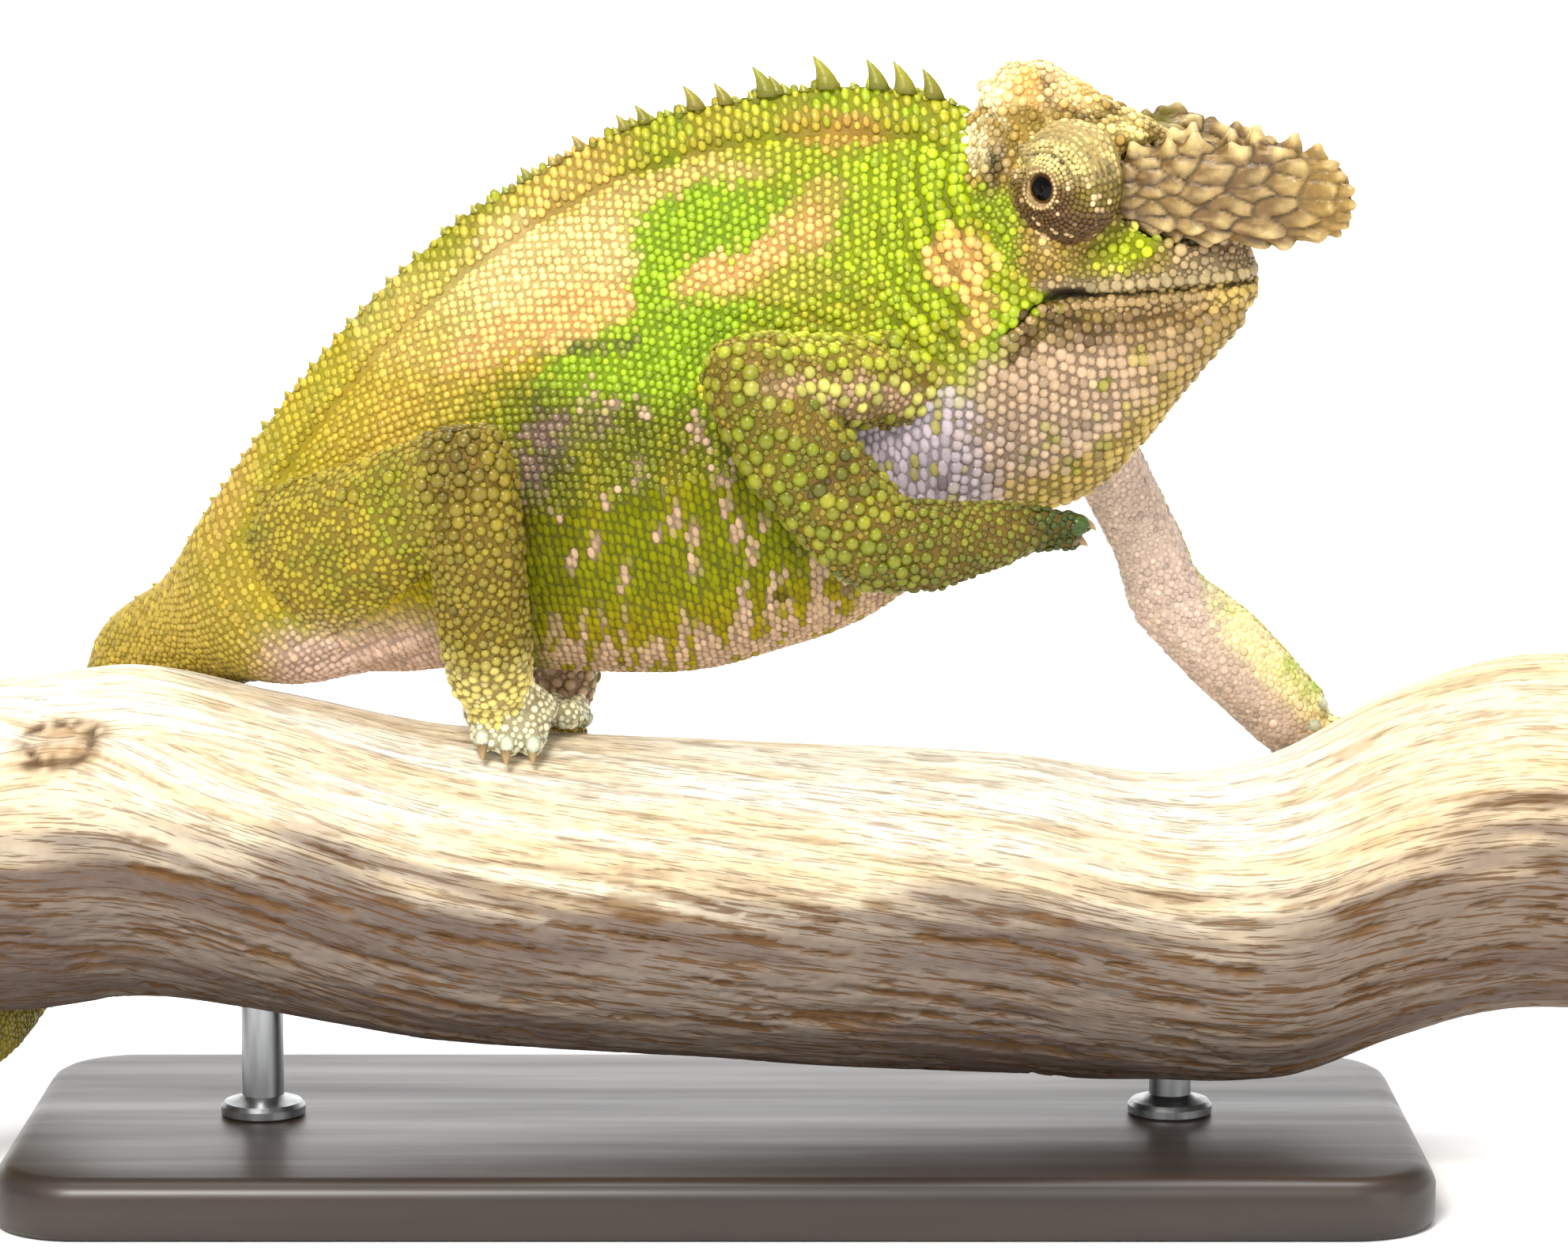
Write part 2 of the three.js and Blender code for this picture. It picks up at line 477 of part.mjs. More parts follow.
function footShape({ ankle, sole, radii, outer, inner }, grow = 0) {
  const [x, degrees] = sole, angle = rad(degrees);
  const round = new THREE.SphereGeometry(1, 8, 5);
  const place = new THREE.Matrix4().makeRotationX(-angle).scale(V(...radii));
  place.setPosition(onBark(x, angle, radii[2] + CLEAR));
  const heel = onBark(x, angle, radii[2] + INSTEP.heelLift);
  const instep = limb([[...ankle.slice(0, 3), ankle[3] - INSTEP.slimmer, ankle[4] - INSTEP.slimmer],
    [...heel.toArray(), radii[0] * INSTEP.lengthShare, radii[1] * INSTEP.widthShare]], grow);
  const toes = [...outer, ...inner].map((toe) => barkToe(toe, grow));
  return joined([solidOf(round, place, grow), instep, ...toes]);
}

// The raised hand, its two bundles of toes closed and pointing forwards.
function raisedToe([root, tip], grow = 0) {
  const radii = [RAISED_TOES.root, mix(RAISED_TOES.root, RAISED_TOES.tip, 0.4), RAISED_TOES.tip];
  const arch = V(...root).lerp(V(...tip), 0.5).add(V(0, 0, 0.35));
  return digit([V(...root), arch, V(...tip)], radii, grow, TOE_MESH);
}
function raisedClaw([root, tip], grow = 0) {
  const ahead = V(...tip).sub(V(...root)).normalize();
  const start = V(...tip).addScaledVector(ahead, RAISED_TOES.tip);
  const end = start.clone().addScaledVector(ahead, CLAW.length).add(V(0, 0, -CLAW.rise));
  const bend = start.clone().lerp(end, 0.5).add(V(0, 0, CLAW.rise));
  const radii = [CLAW.root, mix(CLAW.root, CLAW.tip, CLAW.taper), CLAW.tip];
  return digit([start, bend, end], radii, grow, CLAW_MESH);
}
function raisedHand(grow = 0) {
  const toes = [...RAISED_TOES.outer, ...RAISED_TOES.inner].map((toe) => raisedToe(toe, grow));
  return joined([limb(ARM_RIGHT.palm, grow), ...toes]);
}

// ---------------------------------------------------------------- stand
function standBase() {
  const { length, width, height, corner, bevel } = BASE;
  const x = length / 2 - bevel, y = width / 2 - bevel, plate = new THREE.Shape();
  plate.moveTo(corner - x, -y).lineTo(x - corner, -y).absarc(x - corner, corner - y, corner, -Math.PI / 2, 0);
  plate.lineTo(x, y - corner).absarc(x - corner, y - corner, corner, 0, Math.PI / 2);
  plate.lineTo(corner - x, y).absarc(corner - x, y - corner, corner, Math.PI / 2, Math.PI);
  plate.lineTo(-x, corner - y).absarc(corner - x, corner - y, corner, Math.PI, 1.5 * Math.PI);
  const slab = new THREE.ExtrudeGeometry(plate, {
    depth: height - 2 * bevel, bevelThickness: bevel, bevelSize: bevel, bevelSegments: 1, curveSegments: 2,
  });
  return solidOf(slab.translate(0, 0, bevel - CORE_HEIGHT));
}
function standRod(x, grow = 0) {
  const foot = BASE.height - ROD.intoBase - CORE_HEIGHT, head = crestAt(x) - 2 * radiusAt(x) + ROD.intoPerch;
  const rod = new THREE.CylinderGeometry(ROD.radius, ROD.radius, head - foot, 10).rotateX(Math.PI / 2);
  return solidOf(rod, new THREE.Matrix4().makeTranslation(x, swayAt(x), (head + foot) / 2), grow);
}

// ---------------------------------------------------------------- the nodes
const MATERIALS = {
  skin: { color: 0x9aa63a, roughness: 0.6 }, casque: { color: 0xd2b070, roughness: 0.6 },
  throat: { color: 0xd6bfa8, roughness: 0.6 }, lid: { color: 0x8f8440, roughness: 0.6 },
  horn: { color: 0xa8905a, roughness: 0.55 }, eye: { color: 0x15100c, roughness: 0.1 },
  claw: { color: 0xc9a877, roughness: 0.4 }, bark: { color: 0xd9c49a, roughness: 0.9 },
  base: { color: 0x2a2622, roughness: 0.5 }, steel: { color: 0xb8bcc0, roughness: 0.3, metalness: 0.9 },
};
const model = new THREE.Group();
model.name = "two_horned_chameleon";
const raised = new THREE.Group();
raised.position.z = CORE_HEIGHT;
model.add(raised);
const materials = Object.fromEntries(
  Object.entries(MATERIALS).map(([slot, look]) => [slot, new THREE.MeshStandardMaterial(look)]),
);
function node(name, solid, slot) {
  const { vertProperties, triVerts } = solid.getMesh();
  const geometry = new THREE.BufferGeometry()
    .setAttribute("position", new THREE.BufferAttribute(vertProperties, 3))
    .setIndex(new THREE.BufferAttribute(triVerts, 1));
  geometry.computeVertexNormals();
  const mesh = new THREE.Mesh(geometry, materials[slot]);
  mesh.name = name;
  raised.add(mesh);
}

const horns = { right: [-1, HORN.near], left: [1, HORN.far] };
const grownHeadParts = [];
for (const [name, [side, form]] of Object.entries(horns)) {
  node(`horn_${name}`, carved(hornShape(side, form)), "horn");
  node(`eye_${name}`, eyeBall(side), "eye");
  const hollow = [eyeBall(side, GAP), lidOpening(side), hornShape(side, form, GAP)];
  node(`eyelid_${name}`, carved(eyeTurret(side), ...hollow), "lid");
  grownHeadParts.push(hornShape(side, form, GAP), eyeTurret(side, GAP));
}
const skull = headShape(), grownSkull = headShape(GAP);
node("head", carved(skull, ...grownHeadParts, jawSpace(GAP)), "casque");
node("lower_jaw", carved(skull.intersect(jawSpace()), ...grownHeadParts), "throat");

const grown = {};
for (const [name, cut] of Object.entries(BODY_CUTS)) {
  const mesh = name.startsWith("tail") ? TAIL_MESH : BODY_MESH;
  let piece = bodyLength(cut, mesh);
  grown[name] = bodyLength(cut, mesh, GAP);
  if (name === "trunk") piece = joined([piece, ...crestSpines()]);
  if (name === "throat" || name === "neck") piece = carved(piece, grownSkull, ...grownHeadParts);
  node(name, carved(piece, ...(name === "trunk" ? [grownSkull] : [])), name === "throat" ? "throat" : "skin");
}

const bodyParts = [grown.throat, grown.neck, grown.trunk, grown.tail_base];
const onBranch = Object.keys(BODY_CUTS).filter((name) => name.startsWith("tail")).map((name) => grown[name]);

function limbNodes(side, pieces) {
  const before = [];
  for (const [name, shape] of pieces) {
    node(`${name}_${side}`, carved(shape(0), ...bodyParts, ...before), "skin");
    before.push(shape(GAP));
  }
}
const armPieces = (arm, last) => [
  ["upper_arm", (g) => limb(arm.upper, g)], ["forearm", (g) => limb(arm.fore, g)],
  ["hand", last],
];
const legPieces = (leg, last) => [
  ["thigh", (g) => limb(leg.thigh, g)], ["shin", (g) => limb(leg.shin, g)],
  ["foot", last],
];
limbNodes("right", armPieces(ARM_RIGHT, raisedHand));
limbNodes("left", armPieces(ARM_LEFT, (g) => footShape(FEET.left_fore, g)));
limbNodes("right", legPieces(LEG_RIGHT, (g) => footShape(FEET.right_hind, g)));
limbNodes("left", legPieces(LEG_LEFT, (g) => footShape(FEET.left_hind, g)));

function clawNodes(limbName, toes, clawShape) {
  [...toes.outer, ...toes.inner].forEach((toe, i) => {
    node(`claw_${limbName}_${i + 1}`, clawShape(toe), "claw");
    onBranch.push(clawShape(toe, GAP));
  });
}
clawNodes("hand_right", RAISED_TOES, raisedClaw);
clawNodes("hand_left", FEET.left_fore, barkClaw);
clawNodes("foot_right", FEET.right_hind, barkClaw);
clawNodes("foot_left", FEET.left_hind, barkClaw);

for (const foot of Object.values(FEET)) onBranch.push(footShape(foot, GAP));
const rodPlaces = { rear: -ROD.spread, front: ROD.spread };
const grownRods = Object.values(rodPlaces).map((x) => standRod(x, GAP));
node("perch", carved(perchShape(), ...onBranch, ...grownRods), "bark");
for (const [name, x] of Object.entries(rodPlaces)) node(`stand_rod_${name}`, standRod(x), "steel");
node("stand_base", carved(standBase(), ...grownRods), "base");

export default model;
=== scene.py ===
"""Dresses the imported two-horned chameleon on its branch and stand: one skin over the flesh, solid
scales on it, plated horns, eyes, claws, bleached wood, and the floor, lights and camera.
Numbers named in millimetres are turned to metres when a mesh is made."""

import math

import bmesh
import bpy
import numpy as np
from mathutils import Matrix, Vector
from mathutils.bvhtree import BVHTree


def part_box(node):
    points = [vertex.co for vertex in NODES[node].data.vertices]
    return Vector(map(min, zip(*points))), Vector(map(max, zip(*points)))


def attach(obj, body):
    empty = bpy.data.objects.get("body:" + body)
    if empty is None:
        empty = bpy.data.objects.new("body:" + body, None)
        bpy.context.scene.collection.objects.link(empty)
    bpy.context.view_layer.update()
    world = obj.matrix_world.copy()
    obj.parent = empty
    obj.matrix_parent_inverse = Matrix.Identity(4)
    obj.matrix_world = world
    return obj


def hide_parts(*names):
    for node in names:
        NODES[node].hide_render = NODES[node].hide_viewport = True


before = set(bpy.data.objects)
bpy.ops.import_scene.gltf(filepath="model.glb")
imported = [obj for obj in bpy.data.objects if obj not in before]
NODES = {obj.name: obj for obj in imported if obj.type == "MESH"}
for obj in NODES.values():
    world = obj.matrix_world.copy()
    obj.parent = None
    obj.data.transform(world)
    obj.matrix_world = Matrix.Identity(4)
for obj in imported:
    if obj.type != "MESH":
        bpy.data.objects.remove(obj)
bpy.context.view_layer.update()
MM = 0.001
LIFT = 38.0  # height of the branch's core frame above the floor
RNG = np.random.default_rng(20)

# ------------------------------------------------------------------ numbers shared with the CAD
PERCH_CREST = [(-134, 27.5), (-110, 28.5), (-92, 30.2), (-78, 31.6), (-60, 28.2), (-37, 23.8),
               (0, 21.5), (40, 19.5), (61, 16.8), (76, 19.4), (91, 27.3), (106, 32.2), (119, 33.2)]
PERCH_RADIUS = [(-134, 21), (-90, 22.5), (-60, 21.8), (0, 21.5), (45, 21), (62, 20.5), (90, 23.5),
                (119, 24.5)]
PERCH_SIDEWAYS = [(-134, 1.5), (-70, 0), (0, -1), (60, 0.5), (119, 2)]
# Back line, belly line, half width, back keel, belly keel, from the chin to the tail's bend.
BODY = [
    ((71, 0, 83), (71.8, 0, 79.2), 2.6, 0.5, 0.5), ((64, 0, 83), (64.2, 0, 70.4), 6.2, 0.5, 0.55),
    ((55, 0, 85), (57.2, 0, 61.6), 8.8, 0.5, 0.62), ((47, 0, 89), (50, 0, 55), 10.6, 0.5, 0.68),
    ((40, 0, 98), (39.8, 0, 51.2), 11.6, 0.6, 0.66), ((34.2, 0, 106.4), (31, 0, 45.8), 12.6, 0.75, 0.62),
    ((26.8, 0, 109.4), (23, 0, 40), 13.2, 0.95, 0.6), ((15, 0, 110.2), (16, 0, 36.4), 14.1, 1, 0.58),
    ((2, 0, 108.4), (8.5, 0, 34), 14.6, 1, 0.56), ((-11, 0, 105.2), (-1, 0, 31.4), 14.6, 1, 0.56),
    ((-22.8, 0, 99.5), (-11.2, 0, 30.8), 14, 1, 0.58), ((-33.8, 0, 92.6), (-21.3, 0, 31.2), 13, 0.95, 0.62),
    ((-44.8, 0, 83.3), (-30.3, 0, 31.8), 12.4, 0.9, 0.66), ((-54, 0, 73.2), (-38.4, 0, 31.2), 11, 0.8, 0.62),
    ((-62.3, 0.3, 62.4), (-46.5, 0, 30.8), 9.4, 0.7, 0.58),
    ((-69.6, 3, 52), (-53.4, 1.5, 29.6), 8.2, 0.6, 0.52),
    ((-75.4, 11, 43), (-63, 9.5, 28.8), 7, 0.55, 0.5), ((-86, 23.5, 33), (-75.6, 19.5, 20.5), 6, 0.5, 0.5),
]
TAIL = dict(stations=9, degrees=(84, 330), x=(-87.5, -124), half_depth=(6.9, 0.9), slim=0.74, clear=0.45)
CREST_SPINES = [(27.6, 3.6), (23.7, 3.9), (20.2, 3.6), (13.2, 4.2), (7.4, 2.2), (5.2, 3.8), (0.2, 2.6),
                (-3.8, 3), (-10.4, 2.2), (-12.9, 1.8), (-18.8, 1.8), (-25.8, 1.5)]
HEAD_ROLL, ROLL_ABOUT = math.radians(9), 8.0
HEAD_AT = Vector((35.2, 0, 83 + ROLL_ABOUT + LIFT))
EYE = dict(x=11.4, y=8.3, z=15.9, turret=7.9, outward=7.0, ball=6.2, hole=1.9, back=38, up=3)

FLESH = ["head", "lower_jaw", "throat", "neck", "trunk", "tail_base", "tail_far", "tail_under",
         "tail_near", "tail_tip", "eyelid_right", "eyelid_left"]
LIMBS = [f"{part}_{side}" for side in ("right", "left")
         for part in ("upper_arm", "forearm", "hand", "thigh", "shin", "foot")]
DIGITS = ("hand_right", "hand_left", "foot_right", "foot_left")


# ------------------------------------------------------------------ small maths
def through(pairs):
    """The CAD's smooth line through (place, value) pairs."""
    p, v = np.array(pairs, float).T
    n = len(p)
    lo, hi = np.maximum(np.arange(n) - 1, 0), np.minimum(np.arange(n) + 1, n - 1)
    slope = (v[hi] - v[lo]) / (p[hi] - p[lo])

    def at(x):
        x = np.clip(x, p[0], p[-1])
        i = np.clip(np.searchsorted(p, x) - 1, 0, n - 2)
        span = p[i + 1] - p[i]
        s = (x - p[i]) / span
        bend = slope[i] * s * (1 - s) ** 2 - slope[i + 1] * s * s * (1 - s)
        return v[i] + (v[i + 1] - v[i]) * s * s * (3 - 2 * s) + span * bend
    return at


def unit(a):
    return a / np.maximum(np.linalg.norm(a, axis=-1, keepdims=True), 1e-9)


def smooth(low, high, x):
    t = np.clip((x - low) / (high - low), 0, 1)
    return t * t * (3 - 2 * t)


def hump(*steps):
    """1 where every step is 0, falling to 0 around it like a bell curve."""
    return np.exp(-sum(step ** 2 for step in steps))


def noise(p, size, seed=0):
    """Smooth value noise in -1..1 at points p (n, 3), with lumps about `size` across."""
    q = np.asarray(p, float) / size + 37.1 * seed
    cell = np.floor(q).astype(np.int64)
    f = q - cell
    f = f * f * (3 - 2 * f)
    total = np.zeros(len(q))
    for corner in range(8):
        o = np.array([corner & 1, corner >> 1 & 1, corner >> 2 & 1])
        mixed = (cell + o) * (374761393, 668265263, 2147483647)
        h = (mixed.sum(axis=1) + seed * 1274126177) & 0xFFFFFFFF
        h = ((h ^ (h >> 13)) * 1274126177) & 0xFFFFFFFF
        h = (h ^ (h >> 16)) & 0xFFFF
        total += h / 32767.5 * np.prod(np.where(o, f, 1 - f), axis=1)
    return total - 1


def fractal(p, size, seed=0, octaves=3):
    return sum(noise(p, size / 2 ** k, seed + 5 * k) / 2 ** k for k in range(octaves)) / 1.6


# ------------------------------------------------------------------ branch, body line and head frame
crest_at, radius_at, sway_at = through(PERCH_CREST), through(PERCH_RADIUS), through(PERCH_SIDEWAYS)


def on_bark(x, angle, lift=0.0):
    lobes = 0.028 * np.sin(2 * angle + x / 31) + 0.02 * np.sin(3 * angle - x / 19)
    r = radius_at(x) * (1 + lobes * np.sin(angle / 2) ** 2) + lift
    return np.stack([x + 0 * r, sway_at(x) + r * np.sin(angle),
                     crest_at(x) - radius_at(x) + r * np.cos(angle) + LIFT], axis=-1)


def body_lines():
    rows = [(*np.array(b) + (0, 0, LIFT), *np.array(u) + (0, 0, LIFT), *rest) for b, u, *rest in BODY]
    n = TAIL["stations"]
    for i in range(n):
        f = i / (n - 1)
        angle = math.radians(TAIL["degrees"][0] + f * (TAIL["degrees"][1] - TAIL["degrees"][0]))
        x = TAIL["x"][0] + f * (TAIL["x"][1] - TAIL["x"][0])
        depth = TAIL["half_depth"][0] + f ** 0.85 * (TAIL["half_depth"][1] - TAIL["half_depth"][0])
        rows.append((*on_bark(x, angle, 2 * depth + TAIL["clear"]), *on_bark(x, angle, TAIL["clear"]),
                     depth * TAIL["slim"], 0.5, 0.5))
    table = np.array(rows)
    return [through(list(enumerate(table[:, c]))) for c in range(table.shape[1])], len(rows) - 1


LINES, LAST = body_lines()


def line(t, first):
    return np.stack([LINES[first + k](t) for k in range(3)], axis=-1)


def mid(t):
    return (line(t, 0) + line(t, 3)) / 2


def body_point(t, turn):
    """Points of the body at station numbers t and turns from the back (0) over the left side."""
    t, turn = np.broadcast_arrays(np.asarray(t, float), turn)
    centre = mid(t)
    flow = unit(mid(np.minimum(t + 0.02, LAST)) - mid(np.maximum(t - 0.02, 0)))
    up = line(t, 0) - centre
    side = unit(np.cross(flow, up))
    half, back, belly = (LINES[c](t) for c in (6, 7, 8))
    full = (belly - back) / (back + belly)
    widest = (1 - full) ** back * (1 + full) ** belly
    h = np.cos(turn)
    across = np.maximum(1 - h, 0) ** back * np.maximum(1 + h, 0) ** belly / widest
    wide = half * across * np.sign(np.sin(turn))
    return centre + up * h[..., None] + side * wide[..., None]


def to_head(p):
    """World points (mm) in the head's own frame."""
    q = np.asarray(p, float) - np.array(HEAD_AT)
    c, s = math.cos(HEAD_ROLL), math.sin(HEAD_ROLL)
    return np.stack([q[..., 0], c * q[..., 1] + s * q[..., 2],
                     -s * q[..., 1] + c * q[..., 2] + ROLL_ABOUT], axis=-1)


def from_head(p):
    q = np.asarray(p, float) - (0, 0, ROLL_ABOUT)
    c, s = math.cos(HEAD_ROLL), math.sin(HEAD_ROLL)
    turned = np.stack([q[..., 0], c * q[..., 1] - s * q[..., 2], s * q[..., 1] + c * q[..., 2]], axis=-1)
    return turned + np.array(HEAD_AT)


def eye_frame(side):
    """Centre, gaze, and two directions across it, of one eye, in world millimetres."""
    back, up = math.radians(EYE["back"]), math.radians(EYE["up"])
    gaze = np.array([-math.sin(back), side * math.cos(back) * math.cos(up), math.sin(up)])
    centre = np.array([EYE["x"], side * EYE["y"], EYE["z"]])
    world = from_head(np.stack([centre, centre + gaze, centre + (0, 0, 1)]))
    gaze = unit(world[1] - world[0])
    across = unit(np.cross(world[2] - world[0], gaze))
    return world[0], gaze, across, np.cross(gaze, across)


EYES = {"right": eye_frame(-1), "left": eye_frame(1)}
PUPIL = math.degrees(math.asin(EYE["hole"] / EYE["ball"]))  # the lids' opening, in degrees from the gaze


# ------------------------------------------------------------------ mesh helpers
def grid_faces(rows, columns, wrap=True):
    """Quads of a grid of points, row by row, closed round its columns when wrap is set."""
    r, c = np.meshgrid(np.arange(rows - 1), np.arange(columns if wrap else columns - 1), indexing="ij")
    a, b = r * columns + c, r * columns + (c + 1) % columns
    return np.stack([a, b, b + columns, a + columns], axis=-1).reshape(-1, 4)


def end_fans(columns, last, first_tip, last_tip):
    """Triangles that close a tube of rings: a fan on its first ring and one on its last."""
    k = np.arange(columns)
    turn = (k + 1) % columns
    return np.concatenate([np.stack([k * 0 + first_tip, turn, k], 1),
                           np.stack([k * 0 + last_tip, last + k, last + turn], 1)])


def linked(name, data):
    obj = bpy.data.objects.new(name, data)
    bpy.context.scene.collection.objects.link(obj)
    return obj


def new_object(name, points, faces):
    """An object from points in millimetres and a list of face arrays, each of one face size."""
    faces = faces if isinstance(faces, list) else [faces]
    mesh = bpy.data.meshes.new(name)
    mesh.vertices.add(len(points))
    mesh.vertices.foreach_set("co", (np.asarray(points, float) * MM).astype(np.float32).ravel())
    corners = np.concatenate([f.ravel() for f in faces]).astype(np.int32)
    sizes = np.concatenate([np.full(len(f), f.shape[1]) for f in faces]).astype(np.int32)
    mesh.loops.add(len(corners))
    mesh.loops.foreach_set("vertex_index", corners)
    mesh.polygons.add(len(sizes))
    mesh.polygons.foreach_set("loop_start", (np.cumsum(sizes) - sizes).astype(np.int32))
    mesh.polygons.foreach_set("use_smooth", np.full(len(sizes), True))
    mesh.update(calc_edges=True)
    mesh.validate()
    return linked(name, mesh)


def remeshed(points, faces, voxel):
    """One even mesh round closed bodies, from Blender's voxel remesh."""
    rough = new_object("rough", points, faces)
    remesh = rough.modifiers.new("even", "REMESH")
    remesh.mode, remesh.voxel_size = "VOXEL", voxel * MM
    graph = bpy.context.evaluated_depsgraph_get()
    mesh = bpy.data.meshes.new_from_object(rough.evaluated_get(graph))
    bpy.data.objects.remove(rough)
    return mesh


def shade_smooth(mesh):
    mesh.polygons.foreach_set("use_smooth", np.full(len(mesh.polygons), True))


def read(items, field, width, kind=np.float32):
    """One field of a mesh's vertices, edges, corners or triangles, a row for each."""
    flat = np.zeros(len(items) * width, kind)
    items.foreach_get(field, flat)
    return flat.reshape(-1, width)


def points_of(mesh):
    return read(mesh.vertices, "co", 3).astype(float) / MM


def normals_of(mesh):
    return read(mesh.vertices, "normal", 3).astype(float)


def set_points(mesh, points):
    mesh.vertices.foreach_set("co", (points * MM).astype(np.float32).ravel())
    mesh.update()


def paint(mesh, colours):
    """Colours (linear) on the mesh's points, as the attribute Col."""
    layer = mesh.color_attributes.new("Col", "FLOAT_COLOR", "POINT")
    rgba = np.concatenate([colours, np.ones((len(colours), 1))], axis=1)
    layer.data.foreach_set("color", rgba.astype(np.float32).ravel())


class Relaxer:
    """Moves points towards the mean of their neighbours without shrinking the form."""

    def __init__(self, mesh):
        e = read(mesh.edges, "vertices", 2, np.int32)
        self.a, self.b, self.n = e[:, 0], e[:, 1], len(mesh.vertices)
        self.count = np.maximum(np.bincount(np.r_[self.a, self.b], minlength=self.n), 1)

    def mean(self, values):
        flat = values.reshape(self.n, -1)
        out = np.stack([
            np.bincount(self.a, flat[self.b, k], self.n) + np.bincount(self.b, flat[self.a, k], self.n)
            for k in range(flat.shape[1])], axis=1) / self.count[:, None]
        return out.reshape(values.shape)

    def run(self, points, times, weight):
        for _ in range(times):
            for step in (0.55, -0.58):
                points = points + step * weight[:, None] * (self.mean(points) - points)
        return points


def merged_node(name):
    """A CAD node's points and triangles with split corners joined, and normals, in millimetres."""
    bm = bmesh.new()
    bm.from_mesh(NODES[name].data)
    bmesh.ops.remove_doubles(bm, verts=bm.verts, dist=1e-6)
    bmesh.ops.triangulate(bm, faces=bm.faces)
    bm.normal_update()
    points = np.array([v.co for v in bm.verts]) / MM
    normals = np.array([v.normal for v in bm.verts])
    faces = np.array([[v.index for v in f.verts] for f in bm.faces])
    bm.free()
    return points, normals, faces


def ball(centre, axes, rows=24, columns=36):
    """A closed ellipsoid: centre, and three half axes as vectors."""
    a = np.linspace(0, math.pi, rows + 1)[1:-1]
    b = np.linspace(0, 2 * math.pi, columns, endpoint=False)
    aa, bb = np.meshgrid(a, b, indexing="ij")
    spread = np.sin(aa)[..., None]
    p = (np.cos(aa)[..., None] * axes[2] + spread * np.cos(bb)[..., None] * axes[0]
         + spread * np.sin(bb)[..., None] * axes[1])
    p = np.concatenate([p.reshape(-1, 3), [axes[2]], [-np.asarray(axes[2])]]) + centre
    caps = end_fans(columns, (rows - 2) * columns, len(p) - 2, len(p) - 1)
    return p, [grid_faces(rows - 1, columns)[:, ::-1], caps]


def triangles(faces):
    out = []
    for f in faces:
        out.append(f[:, :3])
        if f.shape[1] == 4:
            out.append(f[:, [0, 2, 3]])
    return np.concatenate(out)


def bvh(points, tris):
    return BVHTree.FromPolygons([tuple(p) for p in points], [tuple(t) for t in tris.tolist()])


# ------------------------------------------------------------------ the skin's shape
TOE = dict(radius=1.35, reach=2.9, back=1.9)
SKIN_VOXEL, FUSE, COAT_DEPTH = 0.68, 0.27, 0.32


def claws_of(limb):
    return [f"claw_{limb}_{k}" for k in range(1, 6)]


def claw_line(name):
    """Root, way to the tip and length of one CAD claw."""
    p, _, _ = merged_node(name)
    middle = p.mean(0)
    axis = np.linalg.svd(p - middle)[2][0]
    along = (p - middle) @ axis

    def spread(part):
        return np.linalg.norm(p[part] - p[part].mean(0), axis=1).mean()
    if spread(along > np.quantile(along, 0.66)) > spread(along < np.quantile(along, 0.34)):
        axis, along = -axis, -along
    low, high = along.min(), along.max()
    near = p[along < low + 0.25 * (high - low)].mean(0)
    root = near + axis * (low - (near - middle) @ axis)
    return root, axis, high - low


def across_of(axis):
    """Two directions across a claw."""
    side_way = unit(np.cross(axis, [0.31, 0.52, 0.8]))
    return side_way, np.cross(axis, side_way)


def body_solid():
    """The trunk, neck, throat and tail as one smooth closed loft."""
    dense = np.linspace(0, LAST, 4000)
    arc = np.r_[0, np.cumsum(np.linalg.norm(np.diff(mid(dense), axis=0), axis=1))]
    t = np.interp(np.arange(0, arc[-1], 0.9), arc, dense)
    turns = np.linspace(0, 2 * math.pi, 96, endpoint=False)
    p = body_point(t[:, None], turns[None, :])
    rows, columns = p.shape[:2]
    p = p.reshape(-1, 3)
    ends = np.array([p[:columns].mean(0), p[-columns:].mean(0)])
    caps = end_fans(columns, (rows - 1) * columns, len(p), len(p) + 1)
    return np.concatenate([p, ends]), [grid_faces(rows, columns)[:, ::-1], caps]


def outward(points, faces):
    """Triangles turned so that they face out, and the points' normals."""
    tris = triangles(faces)
    a, b, c = (points[tris[:, k]] for k in range(3))
    if np.einsum("ij,ij->i", np.cross(a, b), c).sum() < 0:
        tris = tris[:, ::-1]
        a, c = c, a
    face = np.cross(b - a, c - a)
    normal = np.zeros_like(points)
    for k in range(3):
        for axis in range(3):
            normal[:, axis] += np.bincount(tris[:, k], face[:, axis], len(points))
    return tris, unit(normal)


def flesh_soup():
    """All the flesh as closed bodies, and which one each triangle is of."""
    all_points, all_tris, owner, names = [], [], [], []
    total = 0

    def add(name, points, tris, normals):
        nonlocal total
        all_points.append(points + normals * FUSE)
        all_tris.append(tris + total)
        owner.extend([len(names)] * len(tris))
        names.append(name)
        total += len(points)

    points, faces = body_solid()
    add("body", points, *outward(points, faces))
    for name in ["head", "lower_jaw"] + LIMBS:
        points, normals, tris = merged_node(name)
        add(name, points, tris, normals)
    for side, (centre, gaze, across, up) in EYES.items():
        r = EYE["turret"]
        points, faces = ball(centre, (across * r, up * r, gaze * EYE["outward"]))
        add("turret_" + side, points, *outward(points, faces))
    for limb in DIGITS:
        for name in claws_of(limb):
            root, axis, _ = claw_line(name)
            side_way, other = across_of(axis)
            half = (side_way * TOE["radius"], other * TOE["radius"], axis * TOE["reach"])
            points, faces = ball(root - axis * TOE["back"], half, 12, 16)
            add(limb, points, *outward(points, faces))
    return np.concatenate(all_points), np.concatenate(all_tris), np.array(owner), names


